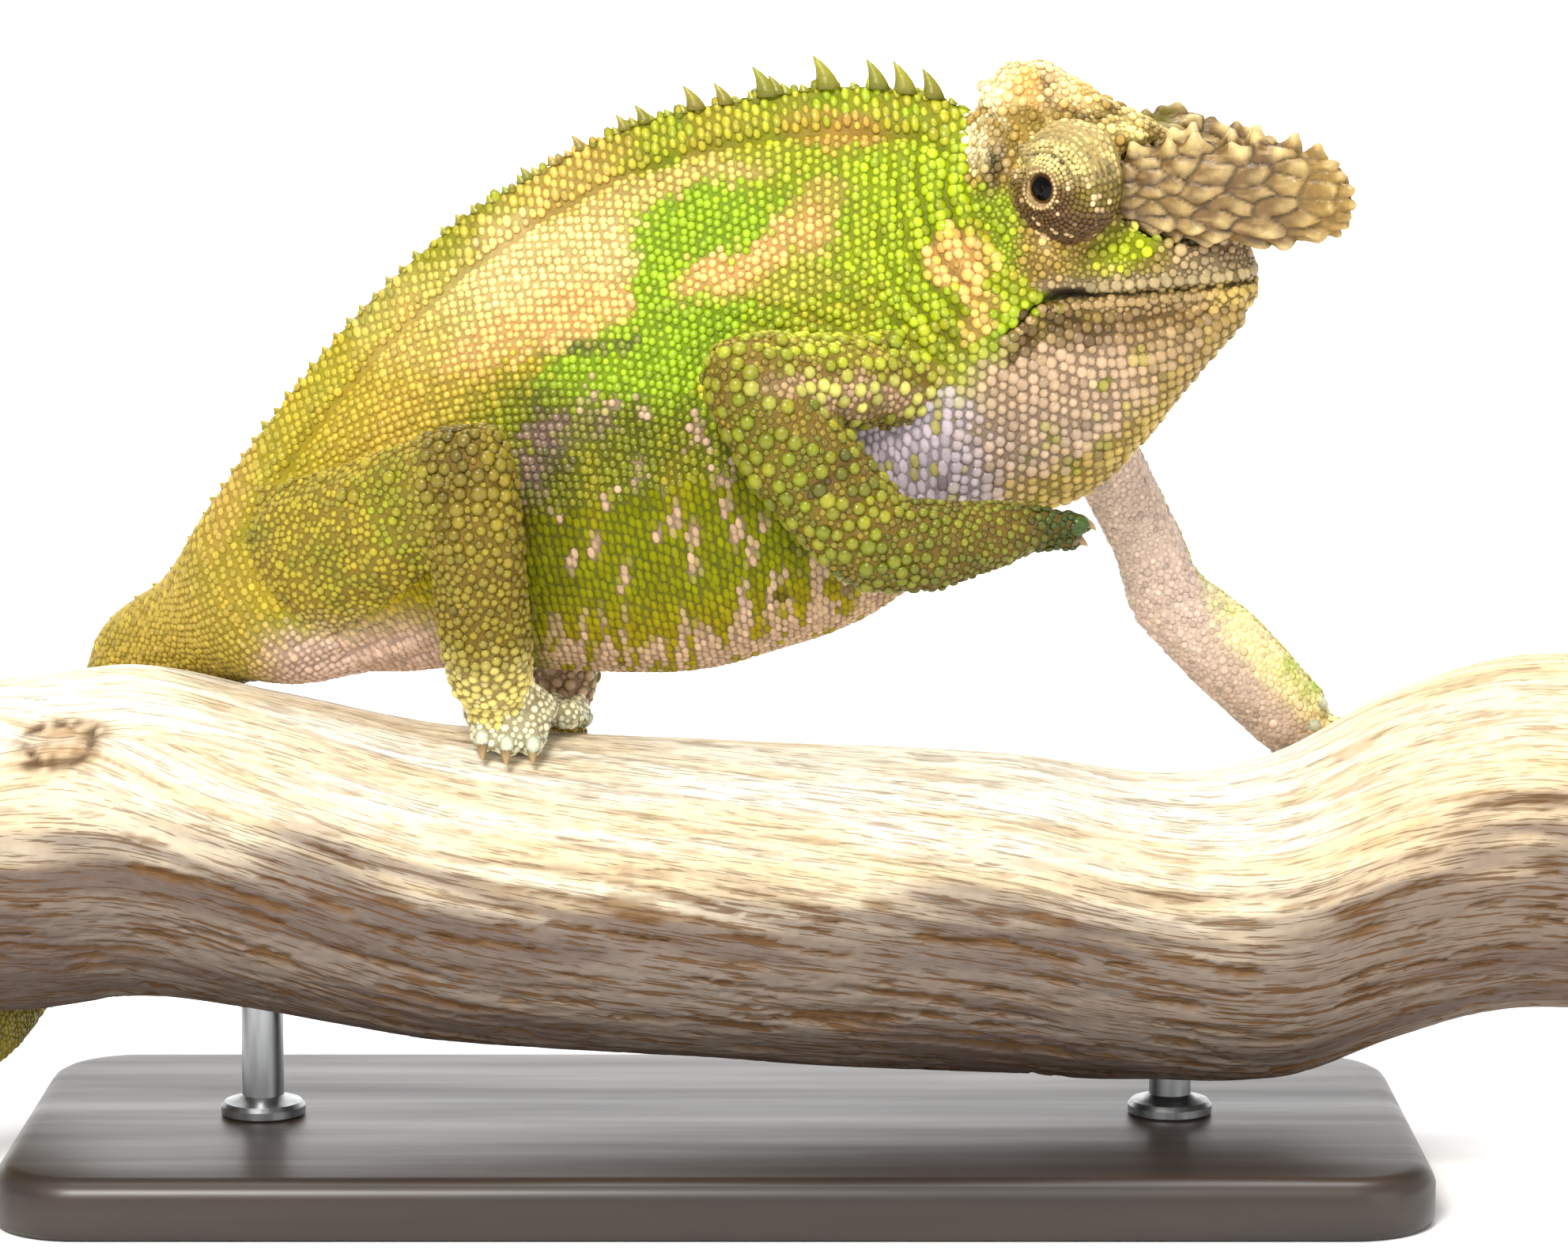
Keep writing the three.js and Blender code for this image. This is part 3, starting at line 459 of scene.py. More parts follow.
def nearest(tree, points):
    """For each point: the nearest place on the tree, its face and its distance."""
    places, faces, far = np.zeros((len(points), 3)), np.zeros(len(points), int), np.zeros(len(points))
    for i, p in enumerate(points.tolist()):
        where, _, face, distance = tree.find_nearest(p)
        places[i], faces[i], far[i] = where, face, distance
    return places, faces, far


def make_skin():
    """The fused and smoothed flesh, and the name of the body that each of its points is of."""
    points, tris, owner, names = flesh_soup()
    mesh = remeshed(points, tris, SKIN_VOXEL)

    # Finer faces on the head.
    bm = bmesh.new()
    bm.from_mesh(mesh)
    nape_x, _, chin_z = from_head(np.array([-3.5, 0, -8.0])) * MM
    chosen = [f for f in bm.faces if f.calc_center_median().x > nape_x and f.calc_center_median().z > chin_z]
    edges = list({e for f in chosen for e in f.edges})
    bmesh.ops.subdivide_edges(bm, edges=edges, cuts=1, use_grid_fill=True)
    bm.to_mesh(mesh)
    bm.free()
    mesh.name = "skin"
    shade_smooth(mesh)

    tree = bvh(points, tris)
    at = points_of(mesh)
    _, face, _ = nearest(tree, at)
    label = np.array(names)[owner[face]]
    relax = Relaxer(mesh)
    gentle = {"hand": 0.35, "foot": 0.35, "turr": 0.5, "head": 0.8, "lowe": 0.8}
    weight = np.array([gentle.get(n[:4], 1.0) for n in names])[owner[face]]
    for _ in range(12):
        weight = relax.mean(weight)
    at = relax.run(at, 14, np.minimum(weight * 1.4, 1.0))
    at = relax.run(at, 30, np.maximum(weight - 0.45, 0) / 0.55)
    set_points(mesh, at)
    return mesh, label


# ------------------------------------------------------------------ folds, lids and lips
def mouth_gap(h):
    """Height over the line of the mouth, which drops to its corner behind, and where there is one."""
    x, y, z = h.T
    line_z = np.where(x > 8, 0.9 + 0.02 * (x - 8), 0.9 - (8 - x) * 4.2 / 4.6)
    return z - line_z, smooth(2.8, 3.8, x) * smooth(38.5, 37, x) * smooth(0.5, 2, np.abs(y))


def head_relief(h, label):
    """How far the skin stands out (mm) over the head's plain form, in the head's frame."""
    x, y, z = h.T
    ay = np.abs(y)
    out = np.zeros(len(h))
    head = smooth(-3, 0, x) * smooth(-9, -6, z)
    d, mouth = mouth_gap(h)
    open_corner = hump((x - 11.5) / 3.2)
    lips = -0.9 * hump(d / 0.32) + 0.35 * hump((np.abs(d) - 1.2) / 0.9)
    lips -= 0.8 * open_corner * hump((d - 0.6) / 0.7)
    lips *= mouth
    # Pouch of skin behind the corner of the mouth.
    out -= 0.8 * hump((x - 3.4) / 1.5, (z + 3.6) / 1.4) * head
    # Nostril, low on the side of the snout, in front of the eye.
    out -= 0.7 * hump((x - 31.5) / 0.8, (z - 7.0) / 0.6) * smooth(1, 2, ay)
    # Bony rims of the casque: one from behind the eye up to its top, one along the brow.
    rim = z - (17.5 + 11.0 * smooth(9, -2, x))
    out += 0.9 * hump(rim / 1.3) * smooth(8.5, 5, x) * head
    out -= 0.5 * hump((rim + 3) / 1.6) * smooth(8.5, 5, x) * head
    brow = z - (25.2 - 0.32 * (x - 8))
    out += 0.8 * hump(brow / 1.2) * smooth(5, 8, x) * smooth(26, 20, x)
    # Cheek creases under the turret.
    out -= 0.25 * np.abs(np.sin(x * 1.3 + z * 0.4)) ** 6 * hump((z - 6) / 2.5) * head
    on_head = np.isin(label, ["head", "lower_jaw", "turret_right", "turret_left"])
    return out * on_head + lips * ~np.isin(label, LIMBS)


def body_relief(p):
    """Folds of the neck, armpit, vent and crest line, in world millimetres."""
    x, _, z = p.T
    neck, wave = neck_folds(p)
    out = 0.55 * neck * wave
    arm = hump((x - 12) / 16, (z - 118) / 7)
    out += 0.2 * arm * np.sin((z + 0.3 * x) * 2.0 + noise(p, 7, 4))
    vent = hump((x + 46) / 10, (z - 72.5) / 5)
    out += 0.35 * vent * np.sin((z - 0.35 * x) * 1.6)
    along_back = smooth(34, 26, x) * smooth(-70, -60, x)
    out -= 0.75 * hump((below_crest(p) - 5.6) / 0.8) * along_back
    out += 0.35 * hump((below_crest(p) - 3.8) / 1.0) * along_back
    out += 0.16 * fractal(p, 9, 6)
    return out


def neck_folds(p):
    """Where the neck folds, 0 to 1, and its wave of folds, -1 in a furrow and 1 on a fold."""
    x, _, z = p.T
    neck = hump((x - 29) / 9) * smooth(108, 116, z) * smooth(146, 134, z)
    return neck, np.sin(np.hypot(x - 56, z - 140) * 1.9 + 1.8 * noise(p, 8, 3))


def below_crest(p):
    """About how far (mm) points of the flank lie below the line of the crest, along the skin."""
    xs, zs = np.array([BODY[k][0] for k in range(5, 16)])[::-1, [0, 2]].T
    z_top = np.interp(p[:, 0], xs, zs + LIFT)
    slope = np.interp(p[:, 0], xs, np.gradient(zs, xs))
    return (z_top - p[:, 2]) / np.sqrt(1 + slope ** 2)


def turret_folds(bent, high):
    """Rings of folds on the upper half of a turret, -1 in a furrow and 1 on a fold."""
    return np.sin(bent * 2 * math.pi / 7.0) * smooth(26, 36, bent) * smooth(0.05, 0.35, high)


def shape_skin(mesh, label):
    """Gives the skin its relief, pushes it in by the coat's depth, and opens the lids round the eyes."""
    at, normal = points_of(mesh), normals_of(mesh)
    limb = np.isin(label, LIMBS).astype(float)
    out = head_relief(to_head(at), label) + body_relief(at) * ~np.isin(label, ["turret_right", "turret_left"])
    joint = np.zeros(len(at))
    for centre, reach in JOINT_CREASES:
        away = np.linalg.norm(at - centre, axis=1)
        joint = np.maximum(joint, hump(away / reach))
    out -= limb * joint * 0.35 * np.abs(np.sin(at[:, 2] * 1.9 + at[:, 0] * 0.8)) ** 3
    at = at + normal * (out - FUSE - COAT_DEPTH)[:, None]
    sunk = EYE["ball"] - 0.75
    for side, (centre, gaze, _, up) in EYES.items():
        away = at - centre
        r = np.linalg.norm(away, axis=1)
        bent = np.degrees(np.arccos(np.clip((away @ gaze) / r, -1, 1)))
        on = (label == "turret_" + side) & (bent < 80)
        rim = 0.35 * hump((bent - PUPIL - 4) / 3.5)
        full = r + rim + 0.26 * turret_folds(bent, away @ up / r)
        inside = smooth(PUPIL + 2.2, PUPIL - 1, bent)
        radius = inside * np.where(bent < PUPIL - 1, sunk, np.minimum(full, sunk)) + (1 - inside) * full
        at = np.where(on[:, None], centre + away / r[:, None] * radius[:, None], at)
    set_points(mesh, at)


JOINT_CREASES = [(np.array(c, float), r) for c, r in [
    ((4, -23, 111), 8), ((20, -23, 90), 8), ((-31, -21, 100), 8), ((-29, -14, 73), 7),
    ((62, 17, 78), 7), ((81, 23, 59), 6), ((-22, 20, 92), 8), ((-20, 18, 60), 6)]]


# ------------------------------------------------------------------ markings
def lin(r, g, b):
    c = np.array([r, g, b]) / 255
    return np.where(c <= 0.04045, c / 12.92, ((c + 0.055) / 1.055) ** 2.4)


GREEN, LEAF, YELLOW_GREEN = (142, 172, 8), (146, 154, 10), (162, 182, 14)
OLIVE, MUSTARD, GREY, DARK = (170, 152, 30), (176, 146, 30), (96, 92, 44), (40, 30, 14)
CREAM, TAN, PEACH, PEBBLE = (232, 202, 130), (230, 180, 104), (238, 182, 104), (176, 148, 118)
LILAC, LAVENDER, PALE_PINK = (122, 98, 84), (176, 162, 168), (178, 148, 124)

# Marks on the flank: place along and up, half width, half height, tilt, colour, strength.
CREAM_MARKS = [
    (-21, 125.5, 13, 8.5, 14, CREAM, 0.9), (-34, 118, 14, 7, 30, CREAM, 0.6),
    (-44, 107, 12, 6, 45, (182, 154, 48), 0.6), (-8, 134, 16, 3, 12, (214, 182, 104), 0.7),
    (-15, 117, 9, 3.8, 12, TAN, 0.95), (-27, 113.5, 10, 3.6, 20, TAN, 0.85),
    (-12, 116.5, 4.5, 3.6, 0, TAN, 0.95), (-38, 104, 10, 4, 35, (196, 158, 60), 0.5)]
GREEN_MARKS = [
    (-1, 127, 10.5, 6.6, 14, GREEN, 1), (-7.5, 121.5, 3.6, 5, 0, GREEN, 1),
    (-3, 115.5, 9, 4.6, 22, GREEN, 1), (-12, 109.5, 12.5, 6.4, 18, GREEN, 0.95),
    (-9, 104, 8, 6, 0, GREEN, 0.8), (27, 134, 9, 6, -20, YELLOW_GREEN, 0.95),
    (24, 126, 7, 6, 0, YELLOW_GREEN, 0.7), (12, 140, 12, 3.4, 6, (160, 166, 24), 0.8),
    (28, 120, 8, 5, -10, YELLOW_GREEN, 0.6)]
TAN_MARKS = [
    (5.5, 124.2, 12, 3.2, 25, TAN, 1), (12.5, 128.5, 4.5, 4.8, 50, (214, 172, 92), 0.7),
    (14.5, 133, 3.8, 3.2, 20, (206, 164, 84), 0.6), (9, 121, 9, 2.4, 10, (190, 168, 66), 0.5),
    (31.5, 123.5, 4.6, 3.8, -30, PEACH, 0.95), (34.5, 117, 2.4, 4.4, -20, PEACH, 0.7),
    (36.5, 128, 1.8, 5, 10, TAN, 0.5), (16, 143, 7.5, 2.6, -4, (196, 150, 62), 0.85),
    (-15.5, 139, 4.5, 1.8, 18, (188, 146, 60), 0.8), (-24, 134, 5, 1.6, 28, (196, 160, 70), 0.6)]
GREY_MARKS = [
    (-21.5, 100.5, 4, 3.2, 10, LILAC, 0.95), (-25, 95, 3, 3.6, 0, LILAC, 0.85),
    (-16, 112, 6, 1.1, 14, GREY, 0.8), (-27, 87, 2.5, 6, 0, (92, 72, 26), 0.6),
    (-15.5, 101.2, 2, 1.1, 0, LILAC, 0.6), (-20.5, 96.5, 2, 1.4, 0, (84, 70, 56), 0.6)]
PINK_FLECKS = [(x, z, wide, high, -8, (182, 150, 124), 0.9) for x, z, wide, high in [
    (-10, 96, 0.9, 2.3), (-5.2, 89.5, 0.8, 2), (-2.6, 87.6, 0.8, 1.7), (-2.2, 101, 0.9, 1.8),
    (-14.2, 92.2, 0.7, 1.3), (-15.6, 86, 0.8, 1.9), (-12, 81.6, 0.8, 2), (-7.5, 87.5, 0.8, 1.2),
    (-16, 106, 0.9, 1), (-13.2, 105, 0.9, 1.1), (1.5, 91, 0.7, 1.6), (3, 87.8, 0.8, 2.1),
    (5, 85, 0.7, 1.8), (-9, 103.6, 0.8, 0.8), (-19, 84, 0.6, 1.4), (0.4, 95, 0.6, 1.4),
    (-6.5, 93.4, 0.6, 1), (2.2, 95.4, 0.6, 1.6), (-3, 83, 0.6, 1.6), (6.6, 89, 0.6, 1.6),
    (-20.6, 90, 0.5, 1)]]


def seen(p):
    """Points as places on the side of the body: along X, and height as it looks from the side."""
    return np.stack([p[:, 0], p[:, 2] - 0.14 * np.abs(p[:, 1])], axis=1)


def spot(p, x, z, rx, rz, tilt=0, soft=0.25, wobble=1.2, seed=1):
    """1 inside a soft-edged ellipse on the side of the body, 0 outside."""
    q = seen(p)
    q = q + wobble * np.stack([noise(p, 6, seed), noise(p, 6, seed + 1)], axis=1)
    a = math.radians(tilt)
    dx, dz = q[:, 0] - x, q[:, 1] - z
    u, v = (dx * math.cos(a) + dz * math.sin(a)) / rx, (-dx * math.sin(a) + dz * math.cos(a)) / rz
    return smooth(1 + soft, 1 - soft, np.sqrt(u * u + v * v))


def blend(colour, other, mask):
    mask = np.clip(mask, 0, 1)[:, None]
    return colour * (1 - mask) + other * mask


def plain(tone, items):
    """One colour, given in 0 to 255, for each item."""
    return np.repeat(lin(*tone)[None], len(items), 0)


def over(colour, tone, mask):
    """Lays a colour given in 0 to 255 over an array of colours, in place."""
    colour[:] = blend(colour, lin(*tone), mask)


def lay_marks(colour, p, marks, soft, wobble, seed, amount=1.0):
    for *shape, tone, strength in marks:
        over(colour, tone, strength * amount * spot(p, *shape, soft, wobble, seed))


def body_colour(p):
    x, zs = seen(p).T
    y = p[:, 1]
    n1, n2, n3 = fractal(p, 16, 11), fractal(p, 7, 12), noise(p, 2.2, 13)
    grain = noise(p, 1.3, 15)
    colour = plain(OLIVE, p)
    over(colour, LEAF, smooth(-0.15, 0.35, n2 + 0.35 * n3))
    # The rear is yellower and mottled; the front greener.
    rear = smooth(-18, -48, x + 0.25 * (zs - 100))
    over(colour, (168, 146, 26), rear * smooth(-0.5, 0.3, n1) * 0.8)
    over(colour, (140, 136, 12), rear * smooth(0.0, 0.4, n2) * 0.75)
    front = smooth(-12, 6, x)
    over(colour, GREEN, front * smooth(-0.5, 0.25, n2 + 0.2) * 0.55)
    # Cream saddle over the rear ribs with the tan stripe under it, green patches, tan stripes and spots.
    lay_marks(colour, p, CREAM_MARKS, 0.3, 1.6, 1)
    lay_marks(colour, p, GREEN_MARKS, 0.16, 1.7, 2)
    lay_marks(colour, p, TAN_MARKS, 0.2, 1.5, 3)
    neck, wave = neck_folds(p)
    # Painted shade in the furrows of the neck folds.
    over(colour, (98, 92, 10), neck * smooth(-0.45, -0.95, wave) * 0.5)
    # Dorsal band: bands of green and tan that run down from the crest.
    back_line = zs - np.interp(x, [-70, -62, -54, -44.8, -33.8, -22.8, -11, 2, 15, 27, 34],
                               [88, 100.4, 111.2, 121.3, 130.6, 137.5, 143.2, 146.4, 148.2, 147.4, 144])
    band = smooth(-9.5, -6.5, back_line)
    upright = p * (1, 0.2, 0.3)
    over(colour, (166, 154, 34), band * 0.6 * smooth(-0.4, 0.3, noise(upright, 4, 31)))
    over(colour, (206, 168, 80), band * 0.65 * smooth(0.0, 0.5, noise(upright, 5, 32)))
    # Lower flank: deep leaf green with grey shadows, pink flecks and pale belly rows.
    low = smooth(107.5, 101, zs + 0.12 * x + 1.5 * n2) * smooth(-34, -24, x) * smooth(30, 18, x)
    over(colour, (108, 110, 0), low * 0.95)
    over(colour, (92, 90, 0), low * smooth(0.1, 0.6, noise(p * (1, 0.3, 0.3), 3.2, 21)) * 0.7)
    over(colour, MUSTARD, low * smooth(0.15, 0.6, noise(p * (1, 0.3, 0.25), 5, 22)) * 0.4)
    broken = 0.35 + 0.65 * smooth(-0.35, 0.15, noise(p, 2.4, 24))
    lay_marks(colour, p, GREY_MARKS, 0.35, 1.8, 4, broken)
    lay_marks(colour, p, PINK_FLECKS, 0.35, 0.2, 5)
    belly_line = zs - np.interp(x, [-56, -46, -38, -30, -21, -11, -1, 8.5, 16, 23, 31],
                                [68, 68.8, 69.2, 69.8, 69.2, 68.8, 69.4, 72, 74.4, 78, 84])
    rows = smooth(13, 3, belly_line) * smooth(-26, -20, x) * smooth(34, 22, x)
    streaks = noise(np.stack([x * 1.7, y * 0.1, belly_line * 0.35], axis=1), 1.2, 41)
    over(colour, (136, 118, 8), rows * 0.85)
    pale = 0.75 * smooth(10, 1, belly_line) - 0.42 + 0.15 * smooth(0, 12, x)
    over(colour, PALE_PINK, rows * smooth(-0.05, 0.15, streaks + pale) * 0.85)
    side_rows = smooth(20, 8, belly_line) * smooth(-8, 4, x) * smooth(30, 20, x)
    over(colour, PALE_PINK, side_rows * smooth(0.3, 0.55, streaks) * 0.8)
    # Vent, underside of the tail and throat side.
    vent = smooth(10, 4, belly_line + 2 * n2) * smooth(-26, -33, x) * smooth(-66, -58, x)
    over(colour, (188, 158, 138), vent)
    tail = smooth(-56, -66, x)
    over(colour, (172, 144, 52), tail * 0.7)
    over(colour, (148, 138, 22), tail * smooth(0.0, 0.4, n1) * 0.7)
    rings = 0.5 + 0.5 * np.sin(p[:, 0] * 0.55 + 0.35 * p[:, 1])
    over(colour, (104, 96, 20), smooth(-84, -92, x) * rings * 0.6)
    # Chest behind the arm: lavender white with green dots.
    chest = spot(p, 28, 98.5, 15, 9, -14, 0.25, 1.0, 6) * np.where(y > 0, 0.4, 1.0)
    over(colour, LAVENDER, chest)
    over(colour, (150, 142, 40), chest * smooth(0.35, 0.6, grain) * 0.8)
    # Throat: pink-white pebbles with olive at its edge and some green rows.
    throat = smooth(116.5, 110, zs - 0.5 * (x - 40) + 2 * n2) * smooth(32, 40, x + 0.3 * (zs - 98))
    over(colour, PEBBLE, throat)
    over(colour, (180, 158, 138), throat * smooth(108, 98, zs) * 0.5)
    under = zs - np.interp(x, [31, 40, 50, 57, 64, 71], [88, 91, 95.5, 101, 109, 118])
    over(colour, (168, 142, 44), throat * smooth(5.5, 1.5, under) * 0.8)
    slant = zs - 0.95 * (x - 50)
    green_rows = hump((slant - 99) / 1.1) + hump((slant - 106) / 1)
    over(colour, (140, 138, 24), throat * green_rows * smooth(-0.2, 0.4, n3) * smooth(38, 44, x) * 0.8)
    over(colour, (158, 128, 74), throat * smooth(52, 60, x) * smooth(104, 110, zs) * 0.6)
    # Brown under the lips, darkest near the corner of the mouth.
    h = to_head(p)
    d, _ = mouth_gap(h)
    jaw = smooth(-0.1, -0.7, d) * smooth(-7.5, -3.0, d + 1.4 * n2)
    jaw *= smooth(1.5, 5, h[:, 0])
    jaw *= smooth(37, 30, h[:, 0])
    over(colour, (118, 90, 38), jaw * 0.85)
    over(colour, (84, 60, 28), jaw * smooth(26, 12, h[:, 0]) * smooth(0.0, 0.5, n3 + 0.6 * n2) * 0.8)
    # Small dark flecks here and there.
    over(colour, DARK, 0.6 * smooth(0.78, 0.86, noise(p, 2.0, 51)) * smooth(0.0, 0.3, n1))
    return colour


def limb_colour(p, label):
    n2, n3 = fractal(p, 6, 62), noise(p, 1.7, 63)
    x, zs = seen(p).T
    _, y, z = p.T
    colour = plain((146, 124, 32), p)
    over(colour, (124, 124, 10), smooth(-0.1, 0.4, n2 + 0.4 * n3))
    over(colour, (168, 138, 52), smooth(0.1, 0.5, fractal(p, 9, 64)) * 0.5)
    near_arm = np.isin(label, ["upper_arm_right", "forearm_right"])
    over(colour, (104, 90, 16), near_arm * smooth(112, 106, zs) * 0.4)
    upper = near_arm * smooth(108, 113, zs)
    over(colour, (178, 178, 50), upper * smooth(-0.6, 0.1, n3 + n2) * 0.85)
    over(colour, (226, 178, 112), upper * smooth(10, 20, x) * smooth(-0.05, 0.3, n2) * 0.85)
    over(colour, (196, 160, 124), near_arm * spot(p, 20, 105.5, 13, 2.2, -6, 0.4) * 0.85)
    over(colour, (40, 36, 14), near_arm * spot(p, 15, 95.5, 4.5, 1.1, 20, 0.6, 1.4, 8) * 0.8)
    over(colour, (60, 52, 20), near_arm * spot(p, 19, 92.5, 3.5, 0.9, 40, 0.6, 1.4, 8) * 0.6)
    hand = label == "hand_right"
    over(colour, (96, 86, 12), hand * 0.65)
    over(colour, (92, 76, 10), hand * smooth(20, 34, x) * smooth(-0.5, 0.2, n2 + n3) * 0.7)
    over(colour, (46, 66, 8), hand * smooth(40, 45, x))
    thigh = label == "thigh_right"
    over(colour, (138, 114, 26), thigh * 0.6)
    over(colour, (164, 136, 56), thigh * smooth(0.0, 0.4, fractal(p * (1, 1, 0.5), 5, 65)) * 0.6)
    colour = colour * (1 - 0.14 * thigh[:, None])
    hip = thigh * smooth(-28, -45, x + 0.25 * (z - 90) + 3 * n2)
    colour = blend(colour, body_colour(p), np.clip(hip + upper * smooth(18, 27, x), 0, 1) * 0.9)
    shin = label == "shin_right"
    over(colour, (138, 118, 24), shin * 0.8)
    over(colour, (104, 86, 16), (thigh | shin) * spot(p, -34, 97, 3, 7, 0, 0.5) * 0.6)
    over(colour, (236, 220, 146), shin * smooth(77, 69, z + 3 * n2) * 0.9)
    foot = label == "foot_right"
    over(colour, (255, 246, 200), foot * 0.95)
    over(colour, (206, 208, 178), foot * smooth(66.5, 62.5, z) * 0.7)
    # Far limbs: pale and lavender on their inner side, green and mustard outside.
    far_arm = np.isin(label, ["upper_arm_left", "forearm_left", "hand_left"])
    inner = far_arm * smooth(2.5, -0.5, y - np.interp(z, [40, 56, 76, 110], [24.5, 22.0, 17.0, 13.0]))
    over(colour, (172, 176, 56), far_arm * 0.8)
    over(colour, (198, 175, 158), inner)
    fore = inner * smooth(66, 72, x - 0.2 * (z - 75))
    front = far_front(p)
    over(colour, (240, 222, 158), fore * smooth(-6, -2, front) * 0.85)
    edge = smooth(np.interp(z, [76, 84], [-3.5, 0.8]), np.interp(z, [76, 84], [1.5, 3.4]), front)
    edge *= smooth(114, 108, z)
    over(colour, (150, 178, 36), far_arm * edge * smooth(-0.3, 0.35, n2 + 0.3 * n3) * 0.9)
    over(colour, (170, 146, 24), far_arm * smooth(95, 102, z + 0.6 * front) * 0.85)
    far_leg = np.isin(label, ["thigh_left", "shin_left", "foot_left"])
    leg_mid = np.where(label == "shin_left", 21.5, np.interp(x, [-59, -16], [10, 22]))
    leg_mid = np.where(label == "foot_left", 17.0, leg_mid)
    over(colour, (196, 166, 140), far_leg * smooth(-0.5, -3, y - leg_mid) * 0.8)
    far_hip = (label == "thigh_left") * smooth(-34, -44, x + 0.25 * (z - 85))
    return blend(colour, body_colour(p), far_hip * 0.9)


# X and Z of the far foreleg's shoulder end, elbow and wrist.
FAR_ARM = [(62.0, 99.0), (67.0, 80.0), (90.0, 56.0)]


def far_front(p):
    """How far (mm) points of the far foreleg lie in front of its middle line, seen from the side."""
    z = p[:, 2]
    x_mid = np.interp(z, [k[1] for k in FAR_ARM[::-1]], [k[0] for k in FAR_ARM[::-1]])
    return (p[:, 0] - x_mid) * 0.75


def head_colour(p):
    h = to_head(p)
    x, _, z = h.T
    n2, n3, n4 = fractal(p, 6, 72), noise(p, 1.6, 73), noise(p, 3.0, 74)
    colour = plain((158, 128, 56), p)
    over(colour, (112, 96, 26), smooth(-0.1, 0.4, n2 + 0.3 * n3) * 0.7)
    over(colour, (226, 198, 128), smooth(0.1, 0.6, n4) * 0.6)
    top = smooth(25.0, 28.0, z + 0.18 * np.maximum(x - 8, 0)) * smooth(19, 11, x)
    over(colour, (255, 190, 108), top * 0.95)
    over(colour, (255, 232, 176), top * smooth(0.1, 0.5, n4) * 0.6)
    over(colour, (255, 236, 188), smooth(4, 0, x) * smooth(16, 20, z) * smooth(-0.7, 0.0, n3) * 0.95)
    over(colour, (234, 208, 128), smooth(13, 17, x) * smooth(20, 22, z) * smooth(-0.3, 0.2, n4) * 0.85)
    over(colour, (70, 60, 16), hump((x - 8.6) / 1.5, (z - 28.2) / 1.5) * 0.85)
    temple = smooth(8, 4, x) * smooth(25, 21, z) * smooth(13, 16, z) * smooth(0.5, 2.5, x)
    over(colour, (150, 122, 46), temple * smooth(0.4, -0.2, n3) * 0.7)
    over(colour, (146, 168, 12), smooth(7, 3, x) * smooth(16.5, 13.5, z) * smooth(0, 3, z) * 0.85)
    over(colour, (50, 38, 14), hump((x - 1.8 - 0.25 * (z - 18)) / 1.0, (z - 17.5) / 3.2) * 0.95)
    brow = hump((z - 26.6 + 0.42 * (x - 8)) / 0.8) * smooth(7, 9, x)
    over(colour, (84, 72, 22), brow * smooth(17, 14, x) * 0.7)
    cheek = hump((x - 20.0) / 4.6, (z - 7.6 - 0.3 * (x - 20)) / 2.4)
    over(colour, (172, 182, 18), np.clip(cheek * 1.6, 0, 1) * smooth(-0.8, -0.1, n3 + 0.3))
    snout = smooth(23, 27, x) * smooth(2.5, 4.5, z)
    over(colour, (144, 120, 94), snout * 0.75)
    d, _ = mouth_gap(h)
    lip = hump((d - 1.6) / 1.3) * smooth(5, 8, x)
    over(colour, (156, 138, 102), lip * 0.85)
    lower = smooth(0.0, -0.8, d)
    over(colour, (156, 128, 84), lower * 0.9)
    under_lip = lower * smooth(-1.5, -3.2, d) * smooth(-0.3, 0.3, n2 + n3 * 0.5)
    over(colour, (112, 82, 38), under_lip * smooth(34, 24, x) * 0.8)
    over(colour, (190, 164, 74), lower * smooth(28, 33, x) * 0.6)
    return colour


def mouth_shade(p):
    """How dark the line of the mouth and its open corner are, 0 to 1."""
    h = to_head(p)
    d, mouth = mouth_gap(h)
    corner = np.exp(-((h[:, 0] - 11.5) / 3.2) ** 4) * np.exp(-((d - 0.5) / 0.9) ** 4)
    line_dark = hump(d / 0.26) * (0.55 + 0.45 * smooth(22, 16, h[:, 0]))
    return np.clip(line_dark + corner, 0, 1) * mouth


def turret_colour(p, side):
    centre, gaze, _, up = EYES[side]
    away = unit(p - centre)
    bent = np.degrees(np.arccos(np.clip(away @ gaze, -1, 1)))
    high = away @ up
    colour = plain((92, 64, 24), p)
    over(colour, (212, 188, 118), smooth(-0.05, 0.5, high))
    over(colour, (84, 56, 28), smooth(-0.1, -0.6, high) * 0.8)
    over(colour, (128, 118, 24), hump((high + 0.1) / 0.25) * smooth(30, 60, bent) * 0.6)
    over(colour, (222, 190, 142), smooth(0.38, 0.6, noise(p, 0.75, 81)) * smooth(0.5, 0.2, high) * 0.85)
    # Painted shade in the furrows of the folds on the turret's upper half.
    furrow = smooth(-0.35, -0.95, turret_folds(bent, high))
    over(colour, (58, 46, 12), furrow * smooth(-0.9, 0.0, noise(p, 2.0, 82)) * 0.9)
    over(colour, (236, 206, 132), smooth(62, 82, bent) * smooth(0.3, 0.7, high) * 0.6)
    over(colour, (128, 96, 52), smooth(PUPIL + 6, PUPIL + 3, bent))
    rim = smooth(PUPIL + 4.2, PUPIL + 2.8, bent) * smooth(PUPIL + 0.2, PUPIL + 1.4, bent)
    over(colour, (222, 190, 134), rim)
    over(colour, (40, 24, 14), smooth(PUPIL + 1, PUPIL - 0.5, bent))
    return colour


def markings(p, label):
    """The animal's colour at points of its skin, told apart by the part each lies on."""
    colour = body_colour(p)
    limb = np.isin(label, LIMBS)
    if limb.any():
        colour[limb] = limb_colour(p[limb], label[limb])
    head = np.isin(label, ["head", "lower_jaw"])
    if head.any():
        colour[head] = head_colour(p[head])
    for side in EYES:
        on = label == "turret_" + side
        if on.any():
            colour[on] = turret_colour(p[on], side)
    over(colour, (34, 22, 12), mouth_shade(p) * 0.92)
    return colour


